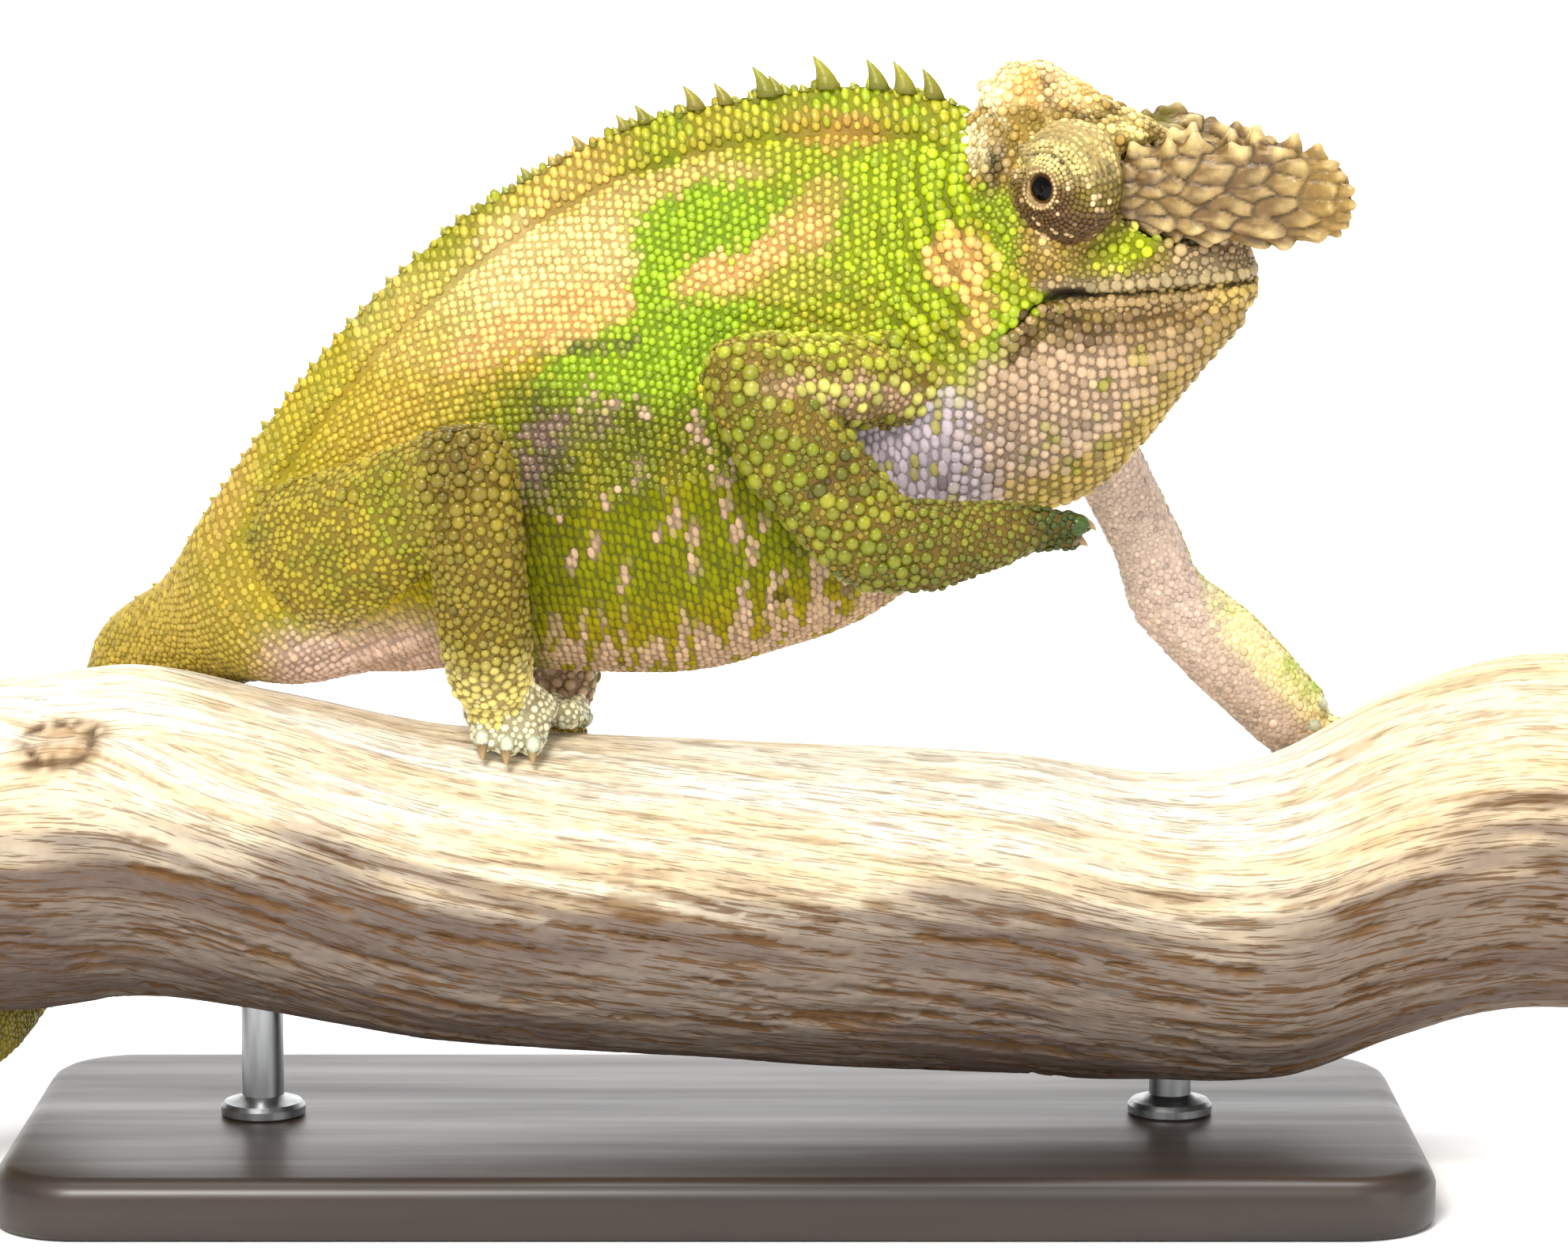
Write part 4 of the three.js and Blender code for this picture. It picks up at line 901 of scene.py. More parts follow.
# ------------------------------------------------------------------ materials
class Look:
    """A material's nodes, with short ways to add them and to join them."""

    def __init__(self, name):
        self.material = bpy.data.materials.new(name)
        self.material.use_nodes = True
        self.nodes, self.link = self.material.node_tree.nodes, self.material.node_tree.links.new
        self.shader = self.nodes["Principled BSDF"]

    def put(self, node, **inputs):
        """Sets a node's inputs, named with _ for a space, to values or to other nodes' outputs."""
        for name, value in inputs.items():
            socket = node.inputs[name.replace("_", " ")]
            if isinstance(value, bpy.types.NodeSocket):
                self.link(value, socket)
            else:
                socket.default_value = value
        return node

    def add(self, kind, **inputs):
        return self.put(self.nodes.new("ShaderNode" + kind), **inputs)

    def noise(self, where, size, detail=4.0):
        return self.add("TexNoise", Scale=size, Detail=detail, Vector=where).outputs["Fac"]

    def ranged(self, value, low, high, start=0.3, stop=0.7):
        node = self.add("MapRange", From_Min=start, From_Max=stop, To_Min=low, To_Max=high, Value=value)
        return node.outputs["Result"]

    def maths(self, kind, *values):
        node = self.nodes.new("ShaderNodeMath")
        node.operation = kind
        for socket, value in zip(node.inputs, values):
            if isinstance(value, float):
                socket.default_value = value
            else:
                self.link(value, socket)
        return node.outputs[0]

    def mixed(self, share, first, second):
        """Two colours, each a value or another node's output, mixed by another node's output."""
        node = self.nodes.new("ShaderNodeMix")
        node.data_type = "RGBA"
        self.link(share, node.inputs[0])
        for socket, colour in zip((node.inputs[6], node.inputs[7]), (first, second)):
            if isinstance(colour, bpy.types.NodeSocket):
                self.link(colour, socket)
            else:
                socket.default_value = (*colour, 1)
        return node.outputs[2]


def look(name, rough=(0.4, 0.6), rough_size=400, bump=0.2, bump_size=900, bump_depth=0.0002,
         colour=None, vary=0.12, specular=0.5, coat=0.0, granules=0.0, metallic=0.0, stretch=(1, 1, 1)):
    """A material: colour from Col or a fixed pair, varied by noise, with rough and bump noise."""
    m = Look(name)
    place = m.add("TexCoord").outputs["Object"]
    where = m.add("Mapping", Scale=stretch, Vector=place).outputs["Vector"]
    if colour is None:
        source = m.add("VertexColor")
        source.layer_name = "Col"
        base = source.outputs["Color"]
    else:
        base = m.mixed(m.ranged(m.noise(where, bump_size * 0.4), 0, 1), *colour)
    varied = m.ranged(m.noise(where, bump_size * 0.7), 1 - vary, 1 + vary)
    base = m.add("HueSaturation", Value=varied, Color=base).outputs["Color"]
    roughness = m.ranged(m.noise(where, rough_size), *rough)
    height = m.noise(where, bump_size)
    if granules:
        cells = m.add("TexVoronoi", Scale=granules, Vector=where)
        height = m.maths("SUBTRACT", height, cells.outputs["Distance"])
    bumps = m.add("Bump", Strength=bump, Distance=bump_depth, Height=height)
    m.put(m.shader, Specular_IOR_Level=specular, Metallic=metallic, Coat_Weight=coat, Coat_Roughness=0.25,
          Base_Color=base, Roughness=roughness, Normal=bumps.outputs["Normal"])
    return m


def material(name, *settings, **more):
    return look(name, *settings, **more).material


# ------------------------------------------------------------------ scales
def dome(sides, flat=0.0):
    """A closed low dome of radius 1 and height 1: points, triangles, and how high each point is."""
    ring = np.linspace(0, 2 * math.pi, sides, endpoint=False)
    rows = [(1.0, -0.45), (0.93, 0.34 + 0.2 * flat), (0.55 + 0.2 * flat, 0.84 + 0.1 * flat)]
    points = [(r * math.cos(a), r * math.sin(a), z) for r, z in rows for a in ring] + [(0, 0, 1)]
    return pointed(points, len(rows), sides)


def spine(sides=7, rows=6):
    """A closed spine of radius 1 and height 1: points, triangles, and how high each point is."""
    f = np.linspace(0, 1, rows)
    ring = np.linspace(0, 2 * math.pi, sides, endpoint=False)
    points = [((1 - v) ** 0.8 * math.cos(a), (1 - v) ** 0.8 * math.sin(a), v) for v in f[:-1] for a in ring]
    return pointed(points + [(0, 0, 1)], rows - 1, sides)


def pointed(points, rings, sides):
    """Closes rings of points, of which the last point is the top."""
    tris = []
    for level in range(rings - 1):
        for k in range(sides):
            a, b = level * sides + k, level * sides + (k + 1) % sides
            tris += [(a, b, b + sides), (a, b + sides, a + sides)]
    last = (rings - 1) * sides
    tris += [(last + k, last + (k + 1) % sides, len(points) - 1) for k in range(sides)]
    tris += [(0, k + 1, k) for k in range(1, sides - 1)]
    points = np.array(points, float)
    return points, np.array(tris), np.clip(points[:, 2], 0, 1)


TRIANGLE_LIMIT = 190000  # of one piece of scales
UV_PATCH = 0.0012  # half width of a scale's own patch on the map OFBake


class Coat:
    """Scales of one zone: roots, frames and sizes, made into pieces under the triangle limit."""

    def __init__(self, name, slot_name):
        self.name, self.slot, self.rows = name, slot_name, []

    def add(self, root, normal, lie, sizes, colour, uv, peak=0.0, contrast=0.66):
        """Scales at their roots, longest along lie; sizes are half length, half width and height."""
        def spread(v):
            return np.broadcast_to(np.asarray(v, float), (len(root),))
        self.rows.append((root, normal, lie, colour, uv, *map(spread, (*sizes, peak, contrast))))

    def build(self, template, finish):
        """Makes the pieces: each scale is the template, with painted shade at its foot and a painted
        highlight on its top, both by the contrast.
        """
        root, normal, lie, colour, uv, long, wide, high, peak, contrast = (
            np.concatenate([row[k] for row in self.rows]) for k in range(10))
        shape, tris, level = template
        lie = unit(lie - normal * np.einsum("ij,ij->i", lie, normal)[:, None])
        across = np.cross(normal, lie)
        order = np.argsort(root[:, 0], kind="stable")
        parts = math.ceil(len(root) / (TRIANGLE_LIMIT // len(tris)))
        for part, chosen in enumerate(np.array_split(order, parts)):
            s = shape[None]
            along = s[..., 0] * long[chosen, None] + level[None] ** 2 * peak[chosen, None]
            p = (root[chosen, None] + along[..., None] * lie[chosen, None]
                 + (s[..., 1] * wide[chosen, None])[..., None] * across[chosen, None]
                 + (s[..., 2] * high[chosen, None])[..., None] * normal[chosen, None])
            faces = tris[None] + (np.arange(len(chosen)) * len(shape))[:, None, None]
            name = self.name if parts == 1 else f"{self.name}_{part + 1}"
            obj = new_object(name, p.reshape(-1, 3), faces.reshape(-1, 3))
            # Painted shade at each scale's foot and a painted highlight on its top, scaled by the contrast.
            light = 1.08 + contrast[chosen, None] * (level[None] - 0.85)
            paint(obj.data, np.clip(colour[chosen, None] * light[..., None], 0, 1).reshape(-1, 3))
            flat_uv = uv[chosen, None] + shape[None, :, :2] * UV_PATCH
            corner = read(obj.data.loops, "vertex_index", 1, np.int32)[:, 0]
            layer = obj.data.uv_layers.new(name="OFBake")
            layer.data.foreach_set("uv", flat_uv.reshape(-1, 2)[corner].astype(np.float32).ravel())
            obj.data.materials.append(finish)
            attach(obj, "root")


NEIGHBOURS = [(i, j, k) for i in (-1, 0, 1) for j in (-1, 0, 1) for k in (-1, 0, 1)]


class Surface:
    """The finished skin as triangles to put scales on, with its labels, normals and unwrap."""

    def __init__(self, mesh, label):
        mesh.calc_loop_triangles()
        self.tris = read(mesh.loop_triangles, "vertices", 3, np.int32)
        self.loops = read(mesh.loop_triangles, "loops", 3, np.int32)
        self.points, self.normals, self.label = points_of(mesh), normals_of(mesh), label
        self.tree = bvh(self.points, self.tris)
        self.uv = read(mesh.uv_layers["OFBake"].data, "uv", 2)
        corners = [self.points[self.tris[:, k]] for k in range(3)]
        self.area = np.linalg.norm(np.cross(corners[1] - corners[0], corners[2] - corners[0]), axis=1) / 2

    def facts(self, place, face):
        """Smooth normal, label and unwrap place at points on given triangles."""
        a, b, c = (self.points[self.tris[face, k]] for k in range(3))
        whole = np.cross(b - a, c - a)
        size = np.maximum(np.einsum("ij,ij->i", whole, whole), 1e-12)
        wa = np.einsum("ij,ij->i", np.cross(b - place, c - place), whole) / size
        wb = np.einsum("ij,ij->i", np.cross(c - place, a - place), whole) / size
        w = np.stack([wa, wb, 1 - wa - wb], axis=1)
        normal = unit(sum(w[:, k, None] * self.normals[self.tris[face, k]] for k in range(3)))
        uv = sum(w[:, k, None] * self.uv[self.loops[face, k]] for k in range(3))
        return normal, self.label[self.tris[face, 0]], uv

    def snap(self, points):
        place, face, far = nearest(self.tree, points)
        return (place, far, *self.facts(place, face))

    def scatter(self, chosen, spacing, seed, taken=None, tries=5):
        """Evenly spread places on the chosen triangles, at a spacing that varies by place."""
        rng = np.random.default_rng(seed)
        gap = spacing(self.points[self.tris].mean(1))
        weight = np.where(chosen, self.area / gap ** 2, 0)
        count = int(weight.sum() * 1.15 * tries)
        face = np.searchsorted(np.cumsum(weight), rng.random(count) * weight.sum())
        face = np.minimum(face, len(weight) - 1)
        r1, r2 = np.sqrt(rng.random(count)), rng.random(count)
        a, b, c = (self.points[self.tris[face, k]] for k in range(3))
        place = a * (1 - r1)[:, None] + b * (r1 * (1 - r2))[:, None] + c * (r1 * r2)[:, None]
        radius = gap[face]
        cell = float(radius.max())
        cells, kept = {}, []
        if taken is not None:
            for p, r in zip(*taken):
                cells.setdefault(tuple((p // cell).astype(int)), []).append((p[0], p[1], p[2], r))

        def crowded(p, r, home):
            for i, j, k in NEIGHBOURS:
                for x, y, z, other in cells.get((home[0] + i, home[1] + j, home[2] + k), ()):
                    need = (r + other) / 2
                    if (p[0] - x) ** 2 + (p[1] - y) ** 2 + (p[2] - z) ** 2 < need * need:
                        return True
            return False

        for i, (p, r) in enumerate(zip(place.tolist(), radius.tolist())):
            home = tuple(int(v // cell) for v in p)
            if not crowded(p, r, home):
                cells.setdefault(home, []).append((*p, r))
                kept.append(i)
        kept = np.array(kept, int)
        return place[kept], face[kept], radius[kept]


def body_lattice(column_gap, stretch, row_gap):
    """Staggered places on both sides of one stretch of the body. Each row has the place, its
    station, its share of the way from back to belly, and the step to the next row."""
    dense = np.linspace(*stretch, 3000)
    arc = np.r_[0, np.cumsum(np.linalg.norm(np.diff(mid(dense), axis=0), axis=1))]
    t = np.interp(np.arange(0, arc[-1], column_gap), arc, dense)
    out = []
    for side in (0, 1):
        turns = np.linspace(0.0, math.pi, 240) + side * math.pi
        if side:
            turns = turns[::-1]
        p = body_point(t[:, None], turns[None, :])
        step = np.linalg.norm(np.diff(p, axis=1), axis=2)
        length = np.concatenate([np.zeros((len(t), 1)), np.cumsum(step, axis=1)], axis=1)
        for c in range(len(t)):
            total = length[c, -1]
            rows = row_gap(t[c], total)
            rows = rows[rows < total - 0.1]
            shift = 0.5 * np.gradient(rows) if len(rows) > 1 else 0
            at = rows + shift * (c % 2)
            place = np.stack([np.interp(at, length[c], p[c, :, k]) for k in range(3)], axis=1)
            step_to_next = np.gradient(at) if len(at) > 1 else np.ones(len(at))
            out.append(np.column_stack([place, np.full(len(at), t[c]), at / total, step_to_next]))
    return np.concatenate(out)


# ------------------------------------------------------------------ build the skin
def unwrap(obj):
    """Blender's own unwrap of the skin's shape, as the map OFBake."""
    obj.data.uv_layers.new(name="OFBake")
    bpy.context.view_layer.objects.active = obj
    obj.select_set(True)
    bpy.ops.object.mode_set(mode="EDIT")
    bpy.ops.mesh.select_all(action="SELECT")
    bpy.ops.uv.smart_project(angle_limit=math.radians(72), island_margin=0.0005)
    bpy.ops.object.mode_set(mode="OBJECT")
    obj.select_set(False)


def skin_colour(at, label):
    """The markings, darker between the scales as painted shade, with less of it on the casque and the rump,
    and paler on the far foreleg.
    """
    # Painted shade on the skin that shows between the scales.
    shade = 0.56 + 0.08 * noise(at, 1.2, 90)
    in_head = to_head(at)
    on_casque = (label == "head") * smooth(16, 20, in_head[:, 2]) * smooth(16, 12, in_head[:, 0])
    shade += 0.3 * on_casque + 0.16 * (label == "body") * smooth(-30, -44, at[:, 0])
    colour = markings(at, label) * shade[:, None]
    near_limb = np.isin(label, [n for n in LIMBS if n.endswith("right")])
    over(colour, (128, 96, 46), 0.4 * near_limb)
    far_arm = np.isin(label, ["upper_arm_left", "forearm_left"])
    colour[far_arm] = np.clip(colour[far_arm] * 1.7, 0, 1)
    return np.clip(colour, 0, 1)


skin_mesh, LABEL = make_skin()
shape_skin(skin_mesh, LABEL)
skin = linked("skin", skin_mesh)
unwrap(skin)
surface = Surface(skin_mesh, LABEL)
paint(skin_mesh, skin_colour(points_of(skin_mesh), LABEL))
SKIN = material("skin_leather", (0.5, 0.7), 300, 0.5, 1600, 0.00025, vary=0.14, granules=1500, specular=0.2)
SCALE = material("scale_horny", (0.24, 0.42), 500, 0.25, 2600, 0.0001, vary=0.12, specular=0.42)
FLANK_SCALE = material("scale_matt", (0.5, 0.7), 500, 0.25, 2600, 0.0001, vary=0.12, specular=0.1)
skin_mesh.materials.clear()
skin_mesh.materials.append(SKIN)
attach(skin, "root")
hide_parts(*(FLESH + LIMBS))


# ------------------------------------------------------------------ scales
def tint(colour, amount):
    """Each scale a little lighter or darker than its place."""
    return colour * np.clip(1 + amount * RNG.standard_normal(len(colour)), 0.6, 1.4)[:, None]


def flow_at(t):
    return unit(mid(np.minimum(t + 0.05, LAST)) - mid(np.maximum(t - 0.05, 0)))


def trunk_rows(t, total):
    """Distances of rows from the back line; lower flank rows are further apart."""
    small = np.interp(t, [0, 3, 5.9, 6.1, 8, 12, 15, 18, LAST],
                      [1.5, 1.55, 1.5, 1.25, 1.2, 1.1, 1.05, 1.0, 0.8])
    out, down = [], small * 0.5
    while down < total:
        out.append(down)
        flank = 0.28 if 0.6 < down / total < 0.9 and 5 < t < 14 else 0.0
        crest_band = 0.55 if down < 5.0 and 5 < t < 17 else 0.0
        down += small * (1 + flank + crest_band)
    return np.array(out)


def dress_body():
    """Rows of scales round the body, with the matt ones of the lower flank in a coat of their own."""
    coat, flank = Coat("scales_body", "skin"), Coat("scales_flank", "skin")
    stretches = [((0.15, 6.0), 1.38), ((6.0, 11.0), 1.08), ((11.0, 15.0), 1.0), ((15.0, 18.5), 0.95),
                 ((18.5, LAST - 0.1), 0.9)]
    for span, gap in stretches:
        data = body_lattice(gap, span, trunk_rows)
        jitter = RNG.standard_normal((len(data), 3)) * 0.11
        place, far, normal, label, uv = surface.snap(data[:, :3] + jitter)
        keep = (label == "body") & (far < 1.6) & (mouth_shade(place) < 0.5)
        data, place, normal, uv = data[keep], place[keep], normal[keep], uv[keep]
        t, share, row_step = data[:, 3], data[:, 4], np.clip(data[:, 5], 0.6, 2.2)
        low = smooth(0.55, 0.66, share) * (t > 5) * (t < 14)
        size = 1 + 0.14 * RNG.standard_normal(len(place)) * (1 - 0.5 * low)
        size *= 1 + 0.3 * smooth(0.1, 0.6, noise(place, 3, 17)) * (t < 6)
        long = gap * 0.56 * np.clip(size, 0.75, 1.35) * (1 - 0.16 * low)
        wide = row_step * 0.54 * np.clip(size, 0.75, 1.3) * (1 + 0.1 * low)
        high = 0.36 * size * (1 - 0.45 * low) * np.interp(t, [0, 5, 14, 19, LAST], [0.95, 1, 0.8, 0.75, 0.6])
        strayed = place + RNG.standard_normal(place.shape) * np.where(low[:, None] > 0.5, 0.15, 0.75)
        colour = tint(markings(strayed, np.full(len(place), "body")), 0.12)
        # How strong each scale's painted shade and highlight are: weaker on the rear and on the lower flank.
        contrast = np.interp(t, [0, 10, 13, LAST], [0.66, 0.66, 0.46, 0.42]) - 0.26 * low
        high = np.clip(high, 0.12, 0.5)
        for zone, on in ((coat, low < 0.5), (flank, low >= 0.5)):
            zone.add(place[on] - normal[on] * 0.02, normal[on], flow_at(t[on]),
                     (long[on], wide[on], high[on]), colour[on], uv[on], contrast=contrast[on])
    coat.build(dome(7), SCALE)
    flank.build(dome(7), FLANK_SCALE)


def dress_spread(coat, labels, spacing_big, share_big, spacing_small, high, seed, fill=0.58, tone=None,
                 contrast=0.66):
    """Large tubercles first, a share of them kept by place, then small granules between them."""
    chosen = np.isin(surface.label[surface.tris[:, 0]], labels)
    big = surface.scatter(chosen, spacing_big, seed, tries=4)
    keep = (RNG.random(len(big[0])) < share_big(big[0])) & (mouth_shade(big[0]) < 0.5)
    big = [part[keep] for part in big]
    small = surface.scatter(chosen, spacing_small, seed + 1, taken=(big[0], big[2]), tries=6)
    clear = mouth_shade(small[0]) < 0.35
    large = np.r_[np.ones(len(big[0])), np.zeros(clear.sum())]
    place, face, gap = (np.concatenate([a, b[clear]]) for a, b in zip(big, small))
    normal, label, uv = surface.facts(place, face)
    strayed = place + RNG.standard_normal(place.shape) * 0.5
    colour = tint(markings(strayed, label), 0.14) * (0.86 + 0.4 * (contrast - 0.26) * large)[:, None]
    if tone is not None:
        colour = blend(colour, lin(*tone) * (colour.mean(1) / colour.mean())[:, None], large * 0.45)
    size = 1 + 0.08 * RNG.standard_normal(len(place))
    tall = np.clip(high * gap * (0.8 + 0.3 * large), 0.1, 0.75)
    lie = np.broadcast_to([-0.6, 0.1, -0.8], place.shape)
    coat.add(place, normal, lie, (gap * (fill + 0.02) * size, gap * fill * size, tall), colour, uv,
             contrast=contrast)


def steady(value, wobble=0.0, seed=100):
    """A spacing or share that is the same everywhere, but for some noise."""
    return lambda p: value + wobble * noise(p, 7, seed)


def head_spacing(p):
    x, _, z = to_head(p).T
    gap = 1.08 + 0.2 * noise(p, 4, 105)
    gap = np.where((z > 24.0) & (x < 15), 1.15 + 0.15 * noise(p, 3, 106), gap)
    gap = np.where((x > 14) & (z > 6), 1.35 + 0.25 * noise(p, 4, 107), gap)
    return np.where(z < 1, 1.15, gap)


def big_on_legs(p):
    """The share of large tubercles: few on the thigh, many on the knee, shin and arm."""
    return np.where(p[:, 0] < 0, 0.1 + 0.85 * smooth(-41, -34, p[:, 0]), 0.8)


def leg_spacing(p):
    """Large tubercles on the knee, smaller and closer ones down the shin."""
    return 1.12 + 0.5 * smooth(84, 98, p[:, 2]) + 0.16 * noise(p, 6, 101)


def arm_spacing(p):
    """Large tubercles on the elbow and forearm, smaller ones over the wrist to the toes."""
    return 1.75 - 0.75 * smooth(10, 38, p[:, 0]) * smooth(100, 94, p[:, 2]) + 0.22 * noise(p, 7, 101)


def dress_limbs():
    arm, leg = ["upper_arm_right", "forearm_right", "hand_right"], ["thigh_right", "shin_right"]
    far_arm, far_leg = ["upper_arm_left", "forearm_left"], ["thigh_left", "shin_left"]
    coat, feet = Coat("scales_limbs", "skin"), Coat("scales_feet", "skin")
    small = steady(0.88, 0.08, 102)
    dress_spread(coat, arm, arm_spacing, big_on_legs, small, 0.34, 201, 0.62, (118, 132, 12))
    dress_spread(coat, leg, leg_spacing, big_on_legs, small, 0.4, 202, 0.64, (122, 108, 18))
    dress_spread(coat, far_leg, steady(1.5), steady(0.4), steady(0.92), 0.28, 204)
    dress_spread(coat, far_arm, steady(1.0), steady(0.15), steady(0.72), 0.16, 207, 0.66, contrast=0.34)
    dress_spread(feet, ["foot_right", "hand_left", "foot_left"], steady(1.2), steady(0.4), steady(0.82),
                 0.26, 211, contrast=0.42)
    dress_toes(feet)
    coat.build(dome(7), SCALE)
    feet.build(dome(6), SCALE)


def dress_toes(coat):
    """A large smooth pad over the end of each toe, just behind its claw."""
    to_camera = np.array([0, -1, 0.6])
    for limb in DIGITS:
        tone = (52, 74, 10) if limb == "hand_right" else (186, 190, 164)
        for name in claws_of(limb):
            root, axis, _ = claw_line(name)
            out_way = unit(to_camera - axis * (to_camera @ axis))
            place, _, normal, _, uv = surface.snap((root - axis * 0.6 + out_way * 3)[None])
            coat.add(place - normal * 0.1, normal, axis[None], (1.4, 1.12, 0.66), plain(tone, place), uv)


def dress_head():
    """Pebbles over the head, and plates along both lips."""
    coat = Coat("scales_head", "casque")
    dress_spread(coat, ["head", "lower_jaw"], head_spacing, steady(0.65), lambda p: head_spacing(p) * 0.6,
                 0.34, 221, 0.6)
    for above, first, gap, wide in ((1.3, 14.5, 1.7, 0.85), (-1.05, 5.0, 1.5, 0.7)):
        for side in (-1, 1):
            x = np.arange(first, 37.0, gap)
            z = above - mouth_gap(np.stack([x, 0 * x, 0 * x], axis=1))[0]
            aim, inner = (from_head(np.stack([x, y + 0 * x, z], axis=1)) for y in (side * 14.0, 0.0))
            hits = []
            for a, b in zip(aim, inner):
                where, _, face, _ = surface.tree.ray_cast(Vector(a), Vector(unit(b - a)), 20.0)
                if where is not None:
                    hits.append((*where, face))
            hits = np.array(hits)
            place = hits[:, :3]
            normal, _, uv = surface.facts(place, hits[:, 3].astype(int))
            colour = tint(markings(place, np.full(len(place), "head")), 0.1)
            lie = np.broadcast_to([1.0, 0, 0], place.shape)
            coat.add(place, normal, lie, (gap * 0.53, wide, 0.34), colour, uv)
    coat.build(dome(8, 0.5), SCALE)


def dress_turrets():
    """Rings of small scales round each eye."""
    coat = Coat("scales_turrets", "lid")
    radius = EYE["turret"]
    for side, (centre, gaze, across, up) in EYES.items():
        bent = PUPIL + 3.5
        while bent < 100:
            b = math.radians(bent)
            gap = np.interp(bent, [20, 45, 95], [0.62, 0.85, 1.15])
            count = int(2 * math.pi * math.sin(b) * radius / gap)
            a = np.arange(count) * 2 * math.pi / count + RNG.random()
            ring = np.cos(a)[:, None] * across + np.sin(a)[:, None] * up
            way = math.cos(b) * gaze[None] + math.sin(b) * ring
            place, far, normal, label, uv = surface.snap(centre + way * 7.0)
            keep = (label == "turret_" + side) & (far < 1.4)
            place, normal, uv, way = place[keep], normal[keep], uv[keep], way[keep]
            if len(place):
                size = 1 + 0.12 * RNG.standard_normal(len(place))
                colour = tint(turret_colour(place, side), 0.16)
                sizes = (gap * 0.52 * size, gap * 0.5 * size, 0.22 * size)
                coat.add(place, normal, np.cross(way, gaze), sizes, colour, uv)
            bent += math.degrees(gap * 0.92 / radius)
    coat.build(dome(6), SCALE)


# ------------------------------------------------------------------ crest
def back_station(x):
    t = np.linspace(4.2, 17, 2000)
    return np.interp(-x, -LINES[0](t), t)


def dress_crest():
    """The tall spines of the crest, and the row of small ones that runs on down the tail."""
    coat = Coat("crest_spines", "skin")
    dense = np.linspace(4.6, LAST - 1.0, 5000)
    arc = np.r_[0, np.cumsum(np.linalg.norm(np.diff(line(dense, 0), axis=0), axis=1))]
    small, along = [], 0.0
    while along < arc[-1]:
        small.append(np.interp(along, arc, dense))
        along += np.interp(along, [0, 110, 200, 330], [2.2, 2.6, 2.2, 1.6])
    tall_x, tall_high = np.array([(x + 0.45 * h, h + 0.5) for x, h in CREST_SPINES]).T
    small_high = np.interp(small, [4.6, 9, 14, 18, LAST], [1.1, 1.15, 0.95, 0.7, 0.35])
    small_high *= 1 + 0.18 * RNG.standard_normal(len(small))
    t, high = np.r_[back_station(tall_x), small], np.r_[tall_high, small_high]
    tall = np.arange(len(t)) < len(CREST_SPINES)
    place, _, _, _, uv = surface.snap(line(t, 0))
    up = unit(line(t, 0) - line(t, 3))
    colour = blend(plain((132, 120, 46), t), body_colour(place), np.where(tall, 0.4, 0.8))
    long = np.where(tall, 0.34 * high + 0.3, 0.45 * high + 0.4)
    sizes = (long, 0.2 * high + 0.26, high)
    coat.add(place - up * 0.3, up, flow_at(t), sizes, tint(colour, 0.08), uv, peak=0.45 * high)
    coat.build(spine(), SCALE)


dress_body()
dress_limbs()
dress_head()
dress_turrets()
dress_crest()


# ------------------------------------------------------------------ horns
HORN_MAT = material("horn_plates", (0.28, 0.5), 350, 0.5, 1300, 0.0003, vary=0.2, specular=0.42)
HORNS = {  # the middle's height and the peaks' places along it are in the head's frame
    "right": dict(seed=31, middle=14.0, strength=1, peaks=[20.5, 24.6, 28.4, 32.6, 36.4, 40.6, 44.2]),
    "left": dict(seed=32, middle=13.0, strength=0.5, peaks=[21, 24, 27, 31, 35, 39])}


